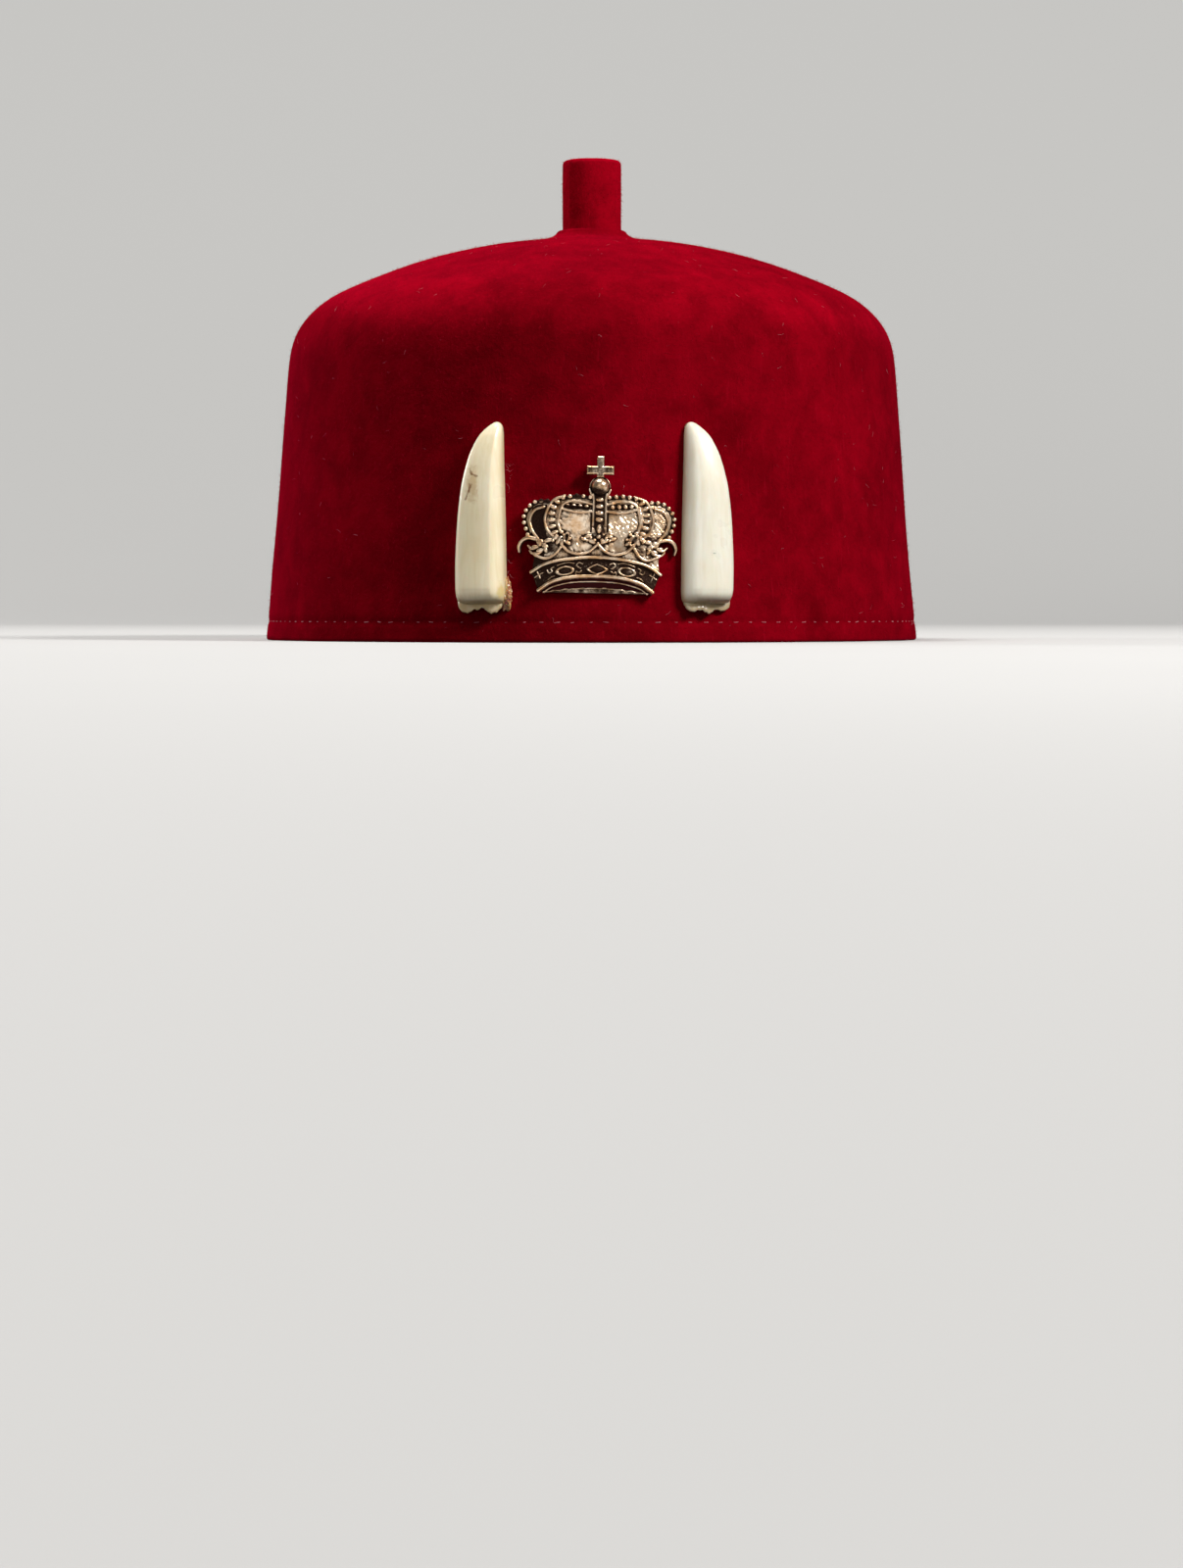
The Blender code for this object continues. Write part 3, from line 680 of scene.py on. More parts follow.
def shellTree():
    tree, given = newTree("feltShell", Object=["Section"], Int=["Rows", "Around"], Float=[
        "Half Width", "Half Depth", "Overlap", "Seam Angle", "Wave", "Wave Scale", "Quiet Height", "Seed"])
    place = position(tree)
    rowSteps = given["Rows"] - 1.0
    grid = addNode(tree, "GeometryNodeMeshGrid", {
        "Size X": given["Around"], "Size Y": rowSteps,
        "Vertices X": given["Around"] + 1.0, "Vertices Y": given["Rows"]}).outputs["Mesh"]
    column, level, _ = parts(tree, place)
    angle = column / given["Around"] * (2 * math.pi)
    sample = outOf(tree, "GeometryNodeSampleIndex", {
        "Geometry": objectShape(tree, given["Section"]), "Value": place,
        "Index": math1(tree, "ROUND", rowSteps * 0.5 + level)}, data_type="FLOAT_VECTOR")
    across, _, height = parts(tree, sample)
    past = math1(tree, "FRACT", (angle - given["Seam Angle"]) / (2 * math.pi))
    spiral = math1(tree, "SUBTRACT", 0.5, past) * given["Overlap"]
    radius = spiral * (across / given["Half Width"]) + across
    share = radius / given["Half Width"]
    deep = share * share * (given["Half Depth"] - given["Half Width"]) + radius
    turned = joined(tree, X=radius * math1(tree, "SINE", angle),
                    Y=deep * math1(tree, "COSINE", angle) * -1.0, Z=height)
    shell = outOf(tree, "GeometryNodeSetPosition", {"Geometry": grid, "Position": turned})
    shell = outOf(tree, "GeometryNodeMergeByDistance", {"Geometry": shell, "Distance": 2e-6})
    # soft dents of the hand-shaped felt, none near the hem and few behind the badge and plaques
    outward = vectorMath(tree, "NORMALIZE", vectorMath(tree, "MULTIPLY", place, (1.0, 1.0, 0.0)))
    lookUp = vectorMath(tree, "ADD", vectorMath(tree, "SCALE", place, given["Wave Scale"]),
                        joined(tree, X=given["Seed"]))
    dents = noiseValue(tree, lookUp, 1.0, detail=1.0, roughness=0.5) - 0.5
    _, front, height = parts(tree, place)
    quiet = remap(tree, height, given["Quiet Height"], given["Quiet Height"] + 0.02, smooth=True)
    behind = remap(tree, front, -0.085, -0.06, 0.25, 1.0, smooth=True)
    offset = vectorMath(tree, "SCALE", outward, dents * given["Wave"] * (quiet * behind))
    moved = outOf(tree, "GeometryNodeSetPosition", {"Geometry": shell, "Offset": offset})
    return endTree(tree, given, moved)


def turnFelt(name, section, look, halfWidth, halfDepth, material):
    line = helperObject(name + "_section", [(radius, 0.0, height) for radius, height in section])
    piece = makePiece(name, shell, look, section=line, rows=len(section), halfWidth=halfWidth,
                      halfDepth=halfDepth, material=material)
    faceOut(piece)
    dropHelpers(line)
    return piece


shell = shellTree()
crown = turnFelt("crown_felt", crownSection(), crownLook, hemHalfWidth, hemHalfDepth, felt)
stem = turnFelt("stem_felt", stemSection(), stemLook, stemLook["radius"], stemLook["radius"], stemFeltWithPaintedLight)
print("crown and stem turned:", len(crown.data.polygons), len(stem.data.polygons), "faces")
dress(crown, "red_felt", "crown")
dress(stem, "red_felt", "stem")


# Places on the front wall: along it from the centre line, up from the hem, and out of it

wallLine = crownOutline()


def deepAt(wide):
    return wide + (hemHalfDepth - hemHalfWidth) * (wide / hemHalfWidth) ** 2


def wideAt(up):
    return np.interp(up, wallLine[:, 1], wallLine[:, 0])


def onWall(along, up, out):
    along, up, out = (np.asarray(v, float) for v in np.broadcast_arrays(along, up, out))
    wide = wideAt(up)
    deep = deepAt(wide)
    reach = crownLook["height"] / 50
    tilt = np.arctan2(wideAt(up - reach) - wideAt(up + reach), 2 * reach)
    angle = along / wide
    level = np.stack([np.sin(angle) / wide, -np.cos(angle) / deep], -1)
    level /= np.linalg.norm(level, axis=-1, keepdims=True)
    x = wide * np.sin(angle) + level[..., 0] * np.cos(tilt) * out
    y = -deep * np.cos(angle) + level[..., 1] * np.cos(tilt) * out
    return np.stack([x, y, up + np.sin(tilt) * out], -1)


# Stitches above the hem, one row right round

stitchLook = {
    "height": 0.0053, "length": 0.0026, "pitch": 0.0044, "threadRadius": 0.00013,
    "arch": 0.00030, "sunk": 0.00025, "rings": 9, "sides": 6, "pathPoints": 240,
    "jitter": 0.13, "leastSize": (0.40, -0.10, 0.7), "mostSize": (1.05, 1.1, 1.1), "seed": 4,
}


def stitchShape():
    verts = []
    for share in (i / (stitchLook["rings"] - 1) for i in range(stitchLook["rings"])):
        x = (share - 0.5) * stitchLook["length"]
        lift = stitchLook["arch"] * (math.sin(math.pi * min(share * 1.15, 1.0)) ** 0.6) - stitchLook["sunk"]
        thick = stitchLook["threadRadius"] * (0.75 + 0.25 * math.sin(math.pi * share))
        for turn in (2 * math.pi * k / stitchLook["sides"] for k in range(stitchLook["sides"])):
            verts.append((x, lift + thick * math.cos(turn), thick * 1.15 * math.sin(turn)))
    shape = meshPiece("stitchShape", verts, loftFaces(stitchLook["rings"], stitchLook["sides"]), thread)
    faceOut(shape)
    return shape


def stitchTree():
    tree, given = newTree("stitchRow", Object=["Path", "Stitch"], Float=["Pitch", "Jitter"],
                          Vector=["Least Size", "Most Size"], Int=["Seed"])
    points, along = pointsAlong(tree, given["Path"], given["Pitch"])
    outward = vectorMath(tree, "MULTIPLY", position(tree), (1.0, 1.0, 0.0))
    facing = outOf(tree, "FunctionNodeAlignRotationToVector", {"Rotation": along, "Vector": outward},
                   axis="Y", pivot_axis="X")
    spread = joined(tree, Y=given["Jitter"], Z=given["Jitter"])
    back = vectorMath(tree, "SCALE", spread, -1.0)
    turned = leaned(tree, facing, randomValue(tree, "FLOAT_VECTOR", back, spread, given["Seed"]))
    size = randomValue(tree, "FLOAT_VECTOR", given["Least Size"], given["Most Size"], given["Seed"] + 1.0)
    return endWithCopies(tree, given, points, objectShape(tree, given["Stitch"]), turned, size)


def makeStitches():
    wide = wideAt(stitchLook["height"]) - crownLook["grooveDepth"]
    count = stitchLook["pathPoints"]
    ring = [(wide * math.sin(a), -deepAt(wide) * math.cos(a), stitchLook["height"])
            for a in np.linspace(0, 2 * math.pi, count + 1)[:-1]]
    path = helperObject("stitchPath", ring, [(i, (i + 1) % count) for i in range(count)])
    shape = stitchShape()
    stitches = makePiece("hem_stitches", stitchTree(), stitchLook, path=path, stitch=shape, material=thread)
    dropHelpers(path, shape)
    return stitches


stitches = makeStitches()
dress(stitches, "red_felt")
print("stitches sewn:", len(stitches.data.polygons), "faces")


# Fuzz and lint: short fibres strewn over the felt by one tree

strewLook = {
    "fuzz": {"length": 0.00100, "radius": 0.000024, "bend": 0.35, "joints": 2, "sides": 3},
    "lint": {"length": 0.0016, "radius": 0.000028, "bend": 0.5, "joints": 5, "sides": 4},
    "felt_fuzz_wall": {"density": 0.40e6, "low": 0.001, "high": 0.080, "seed": 11},
    "felt_fuzz_top": {"density": 0.40e6, "low": 0.080, "high": 0.130, "seed": 12},
    "felt_fuzz_stem": {"density": 1.1e6, "low": 0.1175, "high": 0.140, "seed": 13},
    "felt_lint": {"density": 0.007e6, "low": 0.003, "high": 0.112, "seed": 21,
                  "leastLean": 1.1, "mostLean": 1.5, "leastSize": 0.25, "mostSize": 1.0},
    "usual": {"leastLean": 0.6, "mostLean": 1.35, "leastSize": 0.35, "mostSize": 1.15},
}


def fibreShape(name, length, radius, bend, joints, sides):
    verts = []
    for share in (i / joints for i in range(joints)):
        thick = radius * (1 - 0.45 * share)
        x = bend * length * share ** 2
        z = length * math.sin(share * 1.35) / math.sin(1.35)
        for turn in (2 * math.pi * k / sides for k in range(sides)):
            verts.append((x + thick * math.cos(turn), thick * math.sin(turn), z))
    verts.append((bend * length, 0.0, length))
    last = (joints - 1) * sides
    faces = ringFaces(joints, sides)
    faces += [(last + k, last + (k + 1) % sides, joints * sides) for k in range(sides)]
    return meshPiece(name, verts, faces + [tuple(range(sides))[::-1]], fuzz)


def fibreTree():
    tree, given = newTree("strewnFibres", Object=["Surface", "Fibre"], Int=["Seed"], Float=[
        "Density", "Low", "High", "Least Lean", "Most Lean", "Least Size", "Most Size"])
    place = position(tree)
    normal = outOf(tree, "GeometryNodeInputNormal")
    outward = vectorMath(tree, "SUBTRACT", place, (0.0, 0.0, 0.03))
    outside = math1(tree, "GREATER_THAN", vectorMath(tree, "DOT_PRODUCT", normal, outward), 0.0)
    height = parts(tree, place)[2]
    above = math1(tree, "GREATER_THAN", height, given["Low"])
    below = math1(tree, "LESS_THAN", height, given["High"])
    points = addNode(tree, "GeometryNodeDistributePointsOnFaces", {
        "Mesh": objectShape(tree, given["Surface"]), "Selection": outside * (above * below),
        "Density": given["Density"], "Seed": given["Seed"]}).outputs
    least = joined(tree, X=given["Least Lean"])
    most = joined(tree, X=given["Most Lean"], Z=2 * math.pi)
    turned = leaned(tree, points["Rotation"], randomValue(tree, "FLOAT_VECTOR", least, most, given["Seed"]))
    size = randomValue(tree, "FLOAT", given["Least Size"], given["Most Size"], given["Seed"])
    return endWithCopies(tree, given, points["Points"], objectShape(tree, given["Fibre"]), turned, size)


strewnFibres = fibreTree()
fibre = fibreShape("fibreShape", **strewLook["fuzz"])
strand = fibreShape("strandShape", **strewLook["lint"])
for name, surface, shape, material in (
        ("felt_fuzz_wall", crown, fibre, fuzz), ("felt_fuzz_top", crown, fibre, fuzz),
        ("felt_fuzz_stem", stem, fibre, fuzz), ("felt_lint", crown, strand, lint)):
    look = {**strewLook["usual"], **strewLook[name]}
    strewn = makePiece(name, strewnFibres, look, surface=surface, fibre=shape, material=material)
    dress(strewn, "red_felt")
    print(name, "strewn:", len(strewn.data.polygons), "faces")
dropHelpers(fibre, strand)


# Tusk plaques

tuskLook = {
    "width": 0.0138, "height": 0.0477, "thickness": 0.0060, "aboveHem": 0.0100, "seat": 0.0003,
    "edgeReach": 0.05, "ragged": 0.14, "groove": 0.00010, "lipRoot": 0.0014, "lipEdge": 0.15,
    "badgeWidth": 0.0422, "badgeOffCentre": 0.0010, "gaps": {"left": 0.0022, "right": 0.0015},
    "sections": (          # height, inner edge, outer edge, thickness, as shares
        (0.000, 0.085, 0.900, 0.42), (0.008, 0.045, 0.935, 0.62), (0.020, 0.018, 0.962, 0.79),
        (0.040, 0.004, 0.982, 0.92), (0.065, 0.000, 0.992, 0.98), (0.100, 0.000, 0.998, 1.00),
        (0.245, 0.005, 1.000, 1.00), (0.465, 0.020, 0.960, 1.00), (0.611, 0.035, 0.904, 0.97),
        (0.684, 0.042, 0.857, 0.93), (0.757, 0.050, 0.792, 0.87), (0.830, 0.055, 0.709, 0.78),
        (0.904, 0.060, 0.581, 0.64), (0.940, 0.064, 0.487, 0.53), (0.975, 0.080, 0.353, 0.38),
        (0.994, 0.125, 0.260, 0.21), (1.000, 0.170, 0.215, 0.09),
    ),
    "faces": {             # across from the inner edge and out of the wall, as shares
        "left": ((0, 0), (0, 0.58), (0.165, 0.98), (0.24, 1.0), (0.50, 0.97), (0.82, 0.84), (0.91, 0.66),
                 (0.92, 0.34), (0.985, 0.29), (1, 0.16), (1, 0)),
        "right": ((0, 0), (0, 0.48), (0.23, 0.96), (0.48, 1.0), (0.70, 0.95), (0.88, 0.84), (0.935, 0.66),
                  (0.945, 0.34), (0.99, 0.28), (1, 0.16), (1, 0)),
    },
    "lips": {              # across, drop below the base, how far out, thickness, in millimetres
        "left": ((0.05, 0.2, 1.2, 0.5), (0.09, 1.3, 1.9, 0.7), (0.16, 2.3, 2.3, 0.8), (0.25, 2.6, 2.5, 0.8),
                 (0.33, 2.2, 2.5, 0.7), (0.40, 1.3, 2.2, 0.6), (0.47, 1.1, 1.7, 0.5), (0.54, 1.7, 1.6, 0.5),
                 (0.61, 1.4, 1.5, 0.4), (0.69, 2.2, 1.5, 0.5), (0.77, 2.4, 1.5, 0.6), (0.86, 2.1, 1.3, 0.7),
                 (0.93, 1.3, 0.9, 0.7), (0.965, 0.2, 0.6, 0.5)),
        "right": ((0.04, 0.2, 1.2, 0.5), (0.08, 1.5, 2.0, 0.7), (0.16, 2.2, 2.6, 0.8), (0.27, 1.9, 2.7, 0.8),
                  (0.36, 1.8, 2.5, 0.8), (0.44, 2.3, 2.4, 0.8), (0.50, 2.7, 2.2, 0.8), (0.56, 2.5, 1.9, 0.7),
                  (0.64, 1.6, 1.6, 0.6), (0.76, 1.9, 1.5, 0.6), (0.87, 1.7, 1.3, 0.7), (0.94, 1.1, 0.9, 0.7),
                  (0.97, 0.2, 0.6, 0.5)),
    },
}


def roundCorners(points, times):
    points = np.array(points, float)
    for _ in range(times):
        start, end = points[:-1], points[1:]
        cut = np.stack([0.75 * start + 0.25 * end, 0.25 * start + 0.75 * end], 1).reshape(-1, 2)
        points = np.vstack([points[:1], cut, points[-1:]])
    return points


def tuskAlong(side, share):
    name = "left" if side < 0 else "right"
    inner = tuskLook["badgeWidth"] / 2 + tuskLook["gaps"][name] + side * tuskLook["badgeOffCentre"]
    return side * (inner + share * tuskLook["width"])


def makeTusk(name, side, ivory):
    face = roundCorners(tuskLook["faces"][name], 3)
    sections = smoothLine(tuskLook["sections"], 4)
    points, edges = [], []
    for height, inner, outer, thickness in sections:
        across = inner + (outer - inner) * face[:, 0]
        up = tuskLook["aboveHem"] + height * tuskLook["height"]
        out = tuskLook["seat"] + face[:, 1] * thickness * tuskLook["thickness"]
        points.append(onWall(tuskAlong(side, across), up, out))
        inner = np.clip(1 - face[:, 0] / tuskLook["edgeReach"], 0, 1)
        edges += list(inner * np.clip(1.1 - face[:, 1], 0, 1))
    verts = np.vstack(points)
    faces = loftFaces(len(sections), len(face))
    lip = smoothLine(tuskLook["lips"][name], 4)
    ring = np.linspace(0, 2 * math.pi, 13)[:-1]
    for i, (across, drop, reach, thick) in enumerate(lip):
        ragged = 1 + tuskLook["ragged"] * noise.noise(Vector((i * 0.45, side * 7.0, 0.0)))
        deep = (drop * ragged / 1000 + tuskLook["lipRoot"]) / 2
        middle = tuskLook["aboveHem"] + tuskLook["lipRoot"] - deep
        curl = np.clip(-np.sin(ring), 0, 1) * 0.35 * reach / 1000
        up = middle + np.sin(ring) * deep
        out = reach / 1000 * 0.55 + curl + np.cos(ring) * thick / 1000
        out += tuskLook["groove"] * noise.noise(Vector((i * 1.3, side * 3.0, 5.0)))
        verts = np.vstack([verts, onWall(tuskAlong(side, across), up, np.maximum(out, tuskLook["seat"]))])
        edges += [tuskLook["lipEdge"]] * len(ring)
    faces += loftFaces(len(lip), len(ring), len(sections) * len(face))
    tusk = meshPiece("tusk_" + name + "_plaque", verts.tolist(), faces, ivory)
    storeValues(tusk, "edge", np.array(edges))
    faceOut(tusk)
    return tusk


glueLook = {
    "along": 0.0002, "up": 0.0124, "out": 0.0008, "halfSize": (0.0014, 0.0036, 0.0012),
    "lumps": ((1.7, 0.42), (4.0, 0.34), (11, 0.16)),        # how fine and how strong
    "wisps": ((0.0190, 0.0090), (0.0222, 0.0212), (0.0298, 0.0286), (0.0404, 0.0392), (0.0472, 0.0430)),
    "wispReach": 0.0009, "wispLevels": 6, "wispOut": 0.00005, "leastOut": 0.0001, "subdivisions": 5,
    "strand": {"length": 0.0017, "radius": 0.00003, "bend": 0.6, "joints": 5, "sides": 4},
    "strewn": {"density": 3.0e6, "low": 0.0, "high": 1.0, "seed": 31,
               "leastLean": 0.2, "mostLean": 1.3, "leastSize": 0.3, "mostSize": 1.1},
}


def makeGlue():
    bm = bmesh.new()
    bmesh.ops.create_icosphere(bm, subdivisions=glueLook["subdivisions"], radius=1.0)
    for vert in bm.verts:
        way = vert.co.normalized()
        vert.co = way * (1 + sum(high * noise.noise(way * fine) for fine, high in glueLook["lumps"]))
    points = np.array([v.co for v in bm.verts]) * glueLook["halfSize"]
    along = tuskAlong(-1, 0.0) + glueLook["along"] + points[:, 0]
    out = np.maximum(glueLook["out"] + points[:, 2], glueLook["leastOut"])
    for vert, place in zip(bm.verts, onWall(along, glueLook["up"] + points[:, 1], out)):
        vert.co = place
    return bmeshPiece("glue_residue", bm, glue)


def makeWisps():
    near, far = tuskAlong(-1, -0.01), tuskAlong(-1, 0.0) + glueLook["wispReach"]
    corners = []
    for top, bottom in glueLook["wisps"]:
        levels = np.linspace(bottom, top, glueLook["wispLevels"])
        for low, high in zip(levels, levels[1:]):
            corners += [(near, low), (far, low), (far, high), (near, high)]
    verts = [tuple(onWall(along, up, glueLook["wispOut"])) for along, up in corners]
    faces = [(i, i + 1, i + 2, i + 3) for i in range(0, len(verts), 4)]
    bed = meshPiece("wispBed", verts, faces, lint)
    strand = fibreShape("wispShape", **glueLook["strand"])
    wisps = makePiece("glue_wisps", strewnFibres, glueLook["strewn"], surface=bed, fibre=strand,
                      material=lint)
    dropHelpers(bed, strand)
    return wisps


tuskLeft = makeTusk("left", -1, ivoryLeft)
tuskRight = makeTusk("right", 1, ivoryRight)
glueBead = makeGlue()
glueWisps = makeWisps()
for plaque in (tuskLeft, tuskRight):
    litPlaques.objects.link(plaque)
dress(tuskLeft, "ivory", "tusk_left")
dress(tuskRight, "ivory", "tusk_right")
dress(glueBead, "ivory")
dress(glueWisps, "red_felt")
print("plaques carved:", len(tuskLeft.data.polygons), len(tuskRight.data.polygons), "faces")


# Badge: the casting is a relief over a fine grid, laid flat first and then bent to the wall

badgeLook = {              # in metres, but the points along the forms are shares of the span and the height
    "span": 0.0411, "height": 0.0355, "aboveHem": 0.0128, "offCentre": 0.0010, "turnDegrees": 1.2,
    "lean": 0.0006, "leanFrom": 0.008, "leanOver": 0.008,
    "edge": 0.0013, "middle": 0.0030, "seat": 0.0003, "grid": 0.000105, "margin": 0.0008, "back": 0.0020,
    "footHeight": 0.0008, "plateDrop": 0.00025, "bandDrop": 0.00022, "channelDrop": 0.00030,
    "grooveDrop": 0.0002,
    "bandDark": 0.93, "lensShade": 0.95, "lensBelow": 0.0009, "underDark": 0.35, "underRadius": 0.0002,
    "moundLine": 0.00013, "rimHalf": 0.00022, "rimDark": 0.10, "hollowDark": 0.74, "hollowTarnish": 0.80,
    "petalRise": 0.00050, "knobRise": 0.00062, "hollowRise": 0.0010, "stoneRise": 0.00055, "stoneBoss": 0.85,
    "curlRadius": 0.00017, "curlLift": -0.00024, "curlTarnish": 0.46, "postDark": 0.8, "orbGap": 0.95,
    "crossTarnishAndDarkReflection": 0.66, "speckle": 0.5, "creaseDegrees": 55,
    "strokeScales": (1500.0, 3100.0), "grainScale": 2300.0, "calmScale": 260.0,
    # the left outer panel is much darker than the right: tarnish plus painted shade on the side turned from
    # the key light
    "panelHalf": 0.42, "panelOuter": 0.325, "panelLow": 0.30, "leftTarnishAndShade": (0.86, 0.2),
    "rightTarnish": (0.34, 0.3), "lowTarnish": (0.26, 0.5),
    "archRail": 0.00033, "upperBand": 0.00040, "lowerBand": 0.00045, "postRail": 0.00026, "swag": 0.00035,
    "flange": 0.00036,
    "beads": {"radius": 0.00054, "pitch": 0.00158, "stretch": (1, 1, 1), "darkBelow": 0.40},
    "lumps": {"radius": 0.00060, "pitch": 0.00162, "stretch": (0.95, 1.62, 0.95), "darkBelow": 0.10},
    "orb": 0.00223, "orbRim": 0.00268, "stroke": 0.00019, "grain": 0.00010, "strokeDegrees": -42,
    "outerArchBeads": ((0.322, 0.668), (0.368, 0.668), (0.410, 0.654), (0.447, 0.614), (0.468, 0.575),
                       (0.473, 0.530), (0.462, 0.478), (0.442, 0.418)),
    "innerArchBeads": ((0.058, 0.698), (0.150, 0.708), (0.224, 0.692)),
    "innerArchLumps": ((0.262, 0.664), (0.284, 0.622), (0.2935, 0.570), (0.293, 0.520), (0.2875, 0.480),
                       (0.272, 0.436)),
    "backArchBeads": ((0.080, 0.628), (0.196, 0.634)),
    "postLumps": ((0.0, 0.532), (0.0, 0.680)),
    "archRails": (
        ((0.215, 0.705), (0.290, 0.668), (0.334, 0.560), (0.329, 0.482), (0.3085, 0.439), (0.262, 0.390)),
        ((0.044, 0.646), (0.145, 0.672), (0.225, 0.640), (0.253, 0.525), (0.246, 0.480), (0.240, 0.445)),
        ((0.344, 0.624), (0.405, 0.596), (0.433, 0.524), (0.415, 0.450), (0.374, 0.388)),
        ((0.046, 0.595), (0.130, 0.587), (0.228, 0.612)),
    ),
    "swags": (
        ((0.008, 0.345), (0.050, 0.300), (0.110, 0.280), (0.175, 0.298), (0.217, 0.340)),
        ((0.227, 0.326), (0.265, 0.268), (0.316, 0.243), (0.384, 0.268)),
    ),
    "upperRail": ((0.404, 0.141), (0.318, 0.201), (0.197, 0.237), (0.000, 0.257)),
    "lowerRail": ((0.355, 0.010), (0.274, 0.072), (0.152, 0.109), (0.000, 0.118)),
    "underLine": ((0.325, -0.002), (0.268, 0.040), (0.150, 0.075), (0.000, 0.084)),
    "footHalf": 0.335, "footRise": 0.0014, "footLeast": 0.0003, "footOut": 0.0011, "footRag": 0.00015,
    "footTarnish": (0.64, 0.16), "footLine": 0.00018, "footLineOut": 0.0012,
    "footLineRadius": (0.00015, 0.00014), "footLineTarnish": 0.42,
    "scrolls": (           # across, up, radius in millimetres along each ribbon
        ((0.489, 0.292, 0.26), (0.494, 0.334, 0.40), (0.474, 0.376, 0.46), (0.436, 0.396, 0.52),
         (0.390, 0.386, 0.46), (0.329, 0.357, 0.34)),
        ((0.350, 0.372, 0.50), (0.372, 0.330, 0.44), (0.410, 0.316, 0.34), (0.434, 0.338, 0.22)),
        ((0.322, 0.330, 0.26), (0.352, 0.290, 0.34), (0.398, 0.280, 0.30), (0.420, 0.300, 0.20)),
    ),
    "bodySide": ((0.372, 0.050), (0.400, 0.136), (0.390, 0.244), (0.392, 0.287), (0.366, 0.345)),
    "bodyNeck": ((0.040, 0.722), (0.036, 0.800), (0.020, 0.852), (0.000, 0.856)),
    "foot": ((0.000, 0.000), (0.300, 0.003), (0.348, 0.012), (0.356, 0.050), (0.000, 0.140)),
    "postHalf": 0.00158, "postFoot": 0.492, "postTop": 0.705, "orbUp": 0.776, "collarUp": 0.842,
    "crossUp": 0.897, "crossArm": 0.00337, "crossArmHalf": 0.00108, "crossBar": 0.00086,
    # the rest is in millimetres: across, up, half length, half width, degrees
    "stones": ((7.8, 5.5, 2.4, 1.2, -8, 2.0), (0.3, 6.0, 2.8, 1.45, 0, 1.25)),
    "curls": (
        ((3.5, 7.4), (4.3, 7.7), (4.9, 7.1), (4.4, 6.5), (3.8, 6.2)),
        ((3.7, 5.6), (4.4, 5.1), (5.0, 5.4), (5.1, 4.6)),
        ((5.6, 7.5), (6.9, 7.7), (8.4, 7.4), (9.8, 6.9)),
        ((10.7, 6.5), (11.4, 6.0), (11.1, 5.3), (11.9, 4.9), (12.4, 5.6)),
        ((10.5, 4.1), (11.3, 3.8), (12.0, 3.2)),
        ((13.6, 4.9), (15.6, 3.7)), ((14.2, 3.5), (15.0, 5.2)),
    ),
    "knobs": (             # under the post, then the heart of each side cluster
        (0.0, 14.5, 0.55), (0.9, 13.6, 0.45), (0.0, 12.7, 0.42), (1.9, 14.2, 0.40), (2.8, 13.5, 0.36),
        (9.4, 15.6, 0.50), (8.0, 15.2, 0.45), (10.6, 14.6, 0.45), (7.2, 13.9, 0.40), (11.4, 13.3, 0.42),
    ),
    "petals": (
        (1.6, 13.3, 1.15, 0.52, 28), (2.7, 14.6, 1.00, 0.50, -18), (3.7, 13.9, 0.85, 0.44, 20),
        (8.4, 14.0, 1.30, 0.62, 62), (9.9, 13.5, 1.25, 0.60, 118), (11.0, 14.1, 1.10, 0.54, 152),
        (9.1, 12.9, 0.95, 0.50, 92), (12.6, 13.4, 1.15, 0.56, 168), (7.5, 12.8, 0.80, 0.44, 35),
        (13.5, 12.0, 1.10, 0.56, 20), (15.0, 12.8, 1.15, 0.58, 48), (14.6, 10.8, 1.00, 0.50, -18),
        (15.9, 11.7, 0.90, 0.48, 8), (13.1, 10.9, 0.85, 0.46, 65),
    ),
    # shadowed: patches of painted shade, across, up, half width, half height, strength
    "shadowed": ((12.5, 12.6, 6.5, 2.6, 0.55), (-12.5, 12.6, 6.5, 3.0, 0.75), (0.0, 13.6, 3.6, 1.6, 0.55)),
    "hollowPetals": {1: (9.0, 13.7, 1.75, 0.78, 58), -1: (8.0, 14.2, 1.5, 0.62, 96)},
}


def faceHeight(across):
    bulge = np.maximum(0.0, 1 - (2 * across) ** 2)
    return badgeLook["edge"] + (badgeLook["middle"] - badgeLook["edge"]) * bulge


def flatLine(points, side=1, steps=6):
    line = smoothLine([(side * across, up) for across, up in points], steps)
    return line * (badgeLook["span"], badgeLook["height"])


def wholeLine(half):
    return tuple(half) + tuple((-across, up) for across, up in half[-2::-1])


def roundOver(radius, away):
    return np.sqrt(np.maximum(radius ** 2 - away ** 2, 0.0))


def inMetres(row, side=1):
    across, up, length, width, degrees = row[:5]
    return side * across / 1000, up / 1000, length / 1000, width / 1000, side * degrees


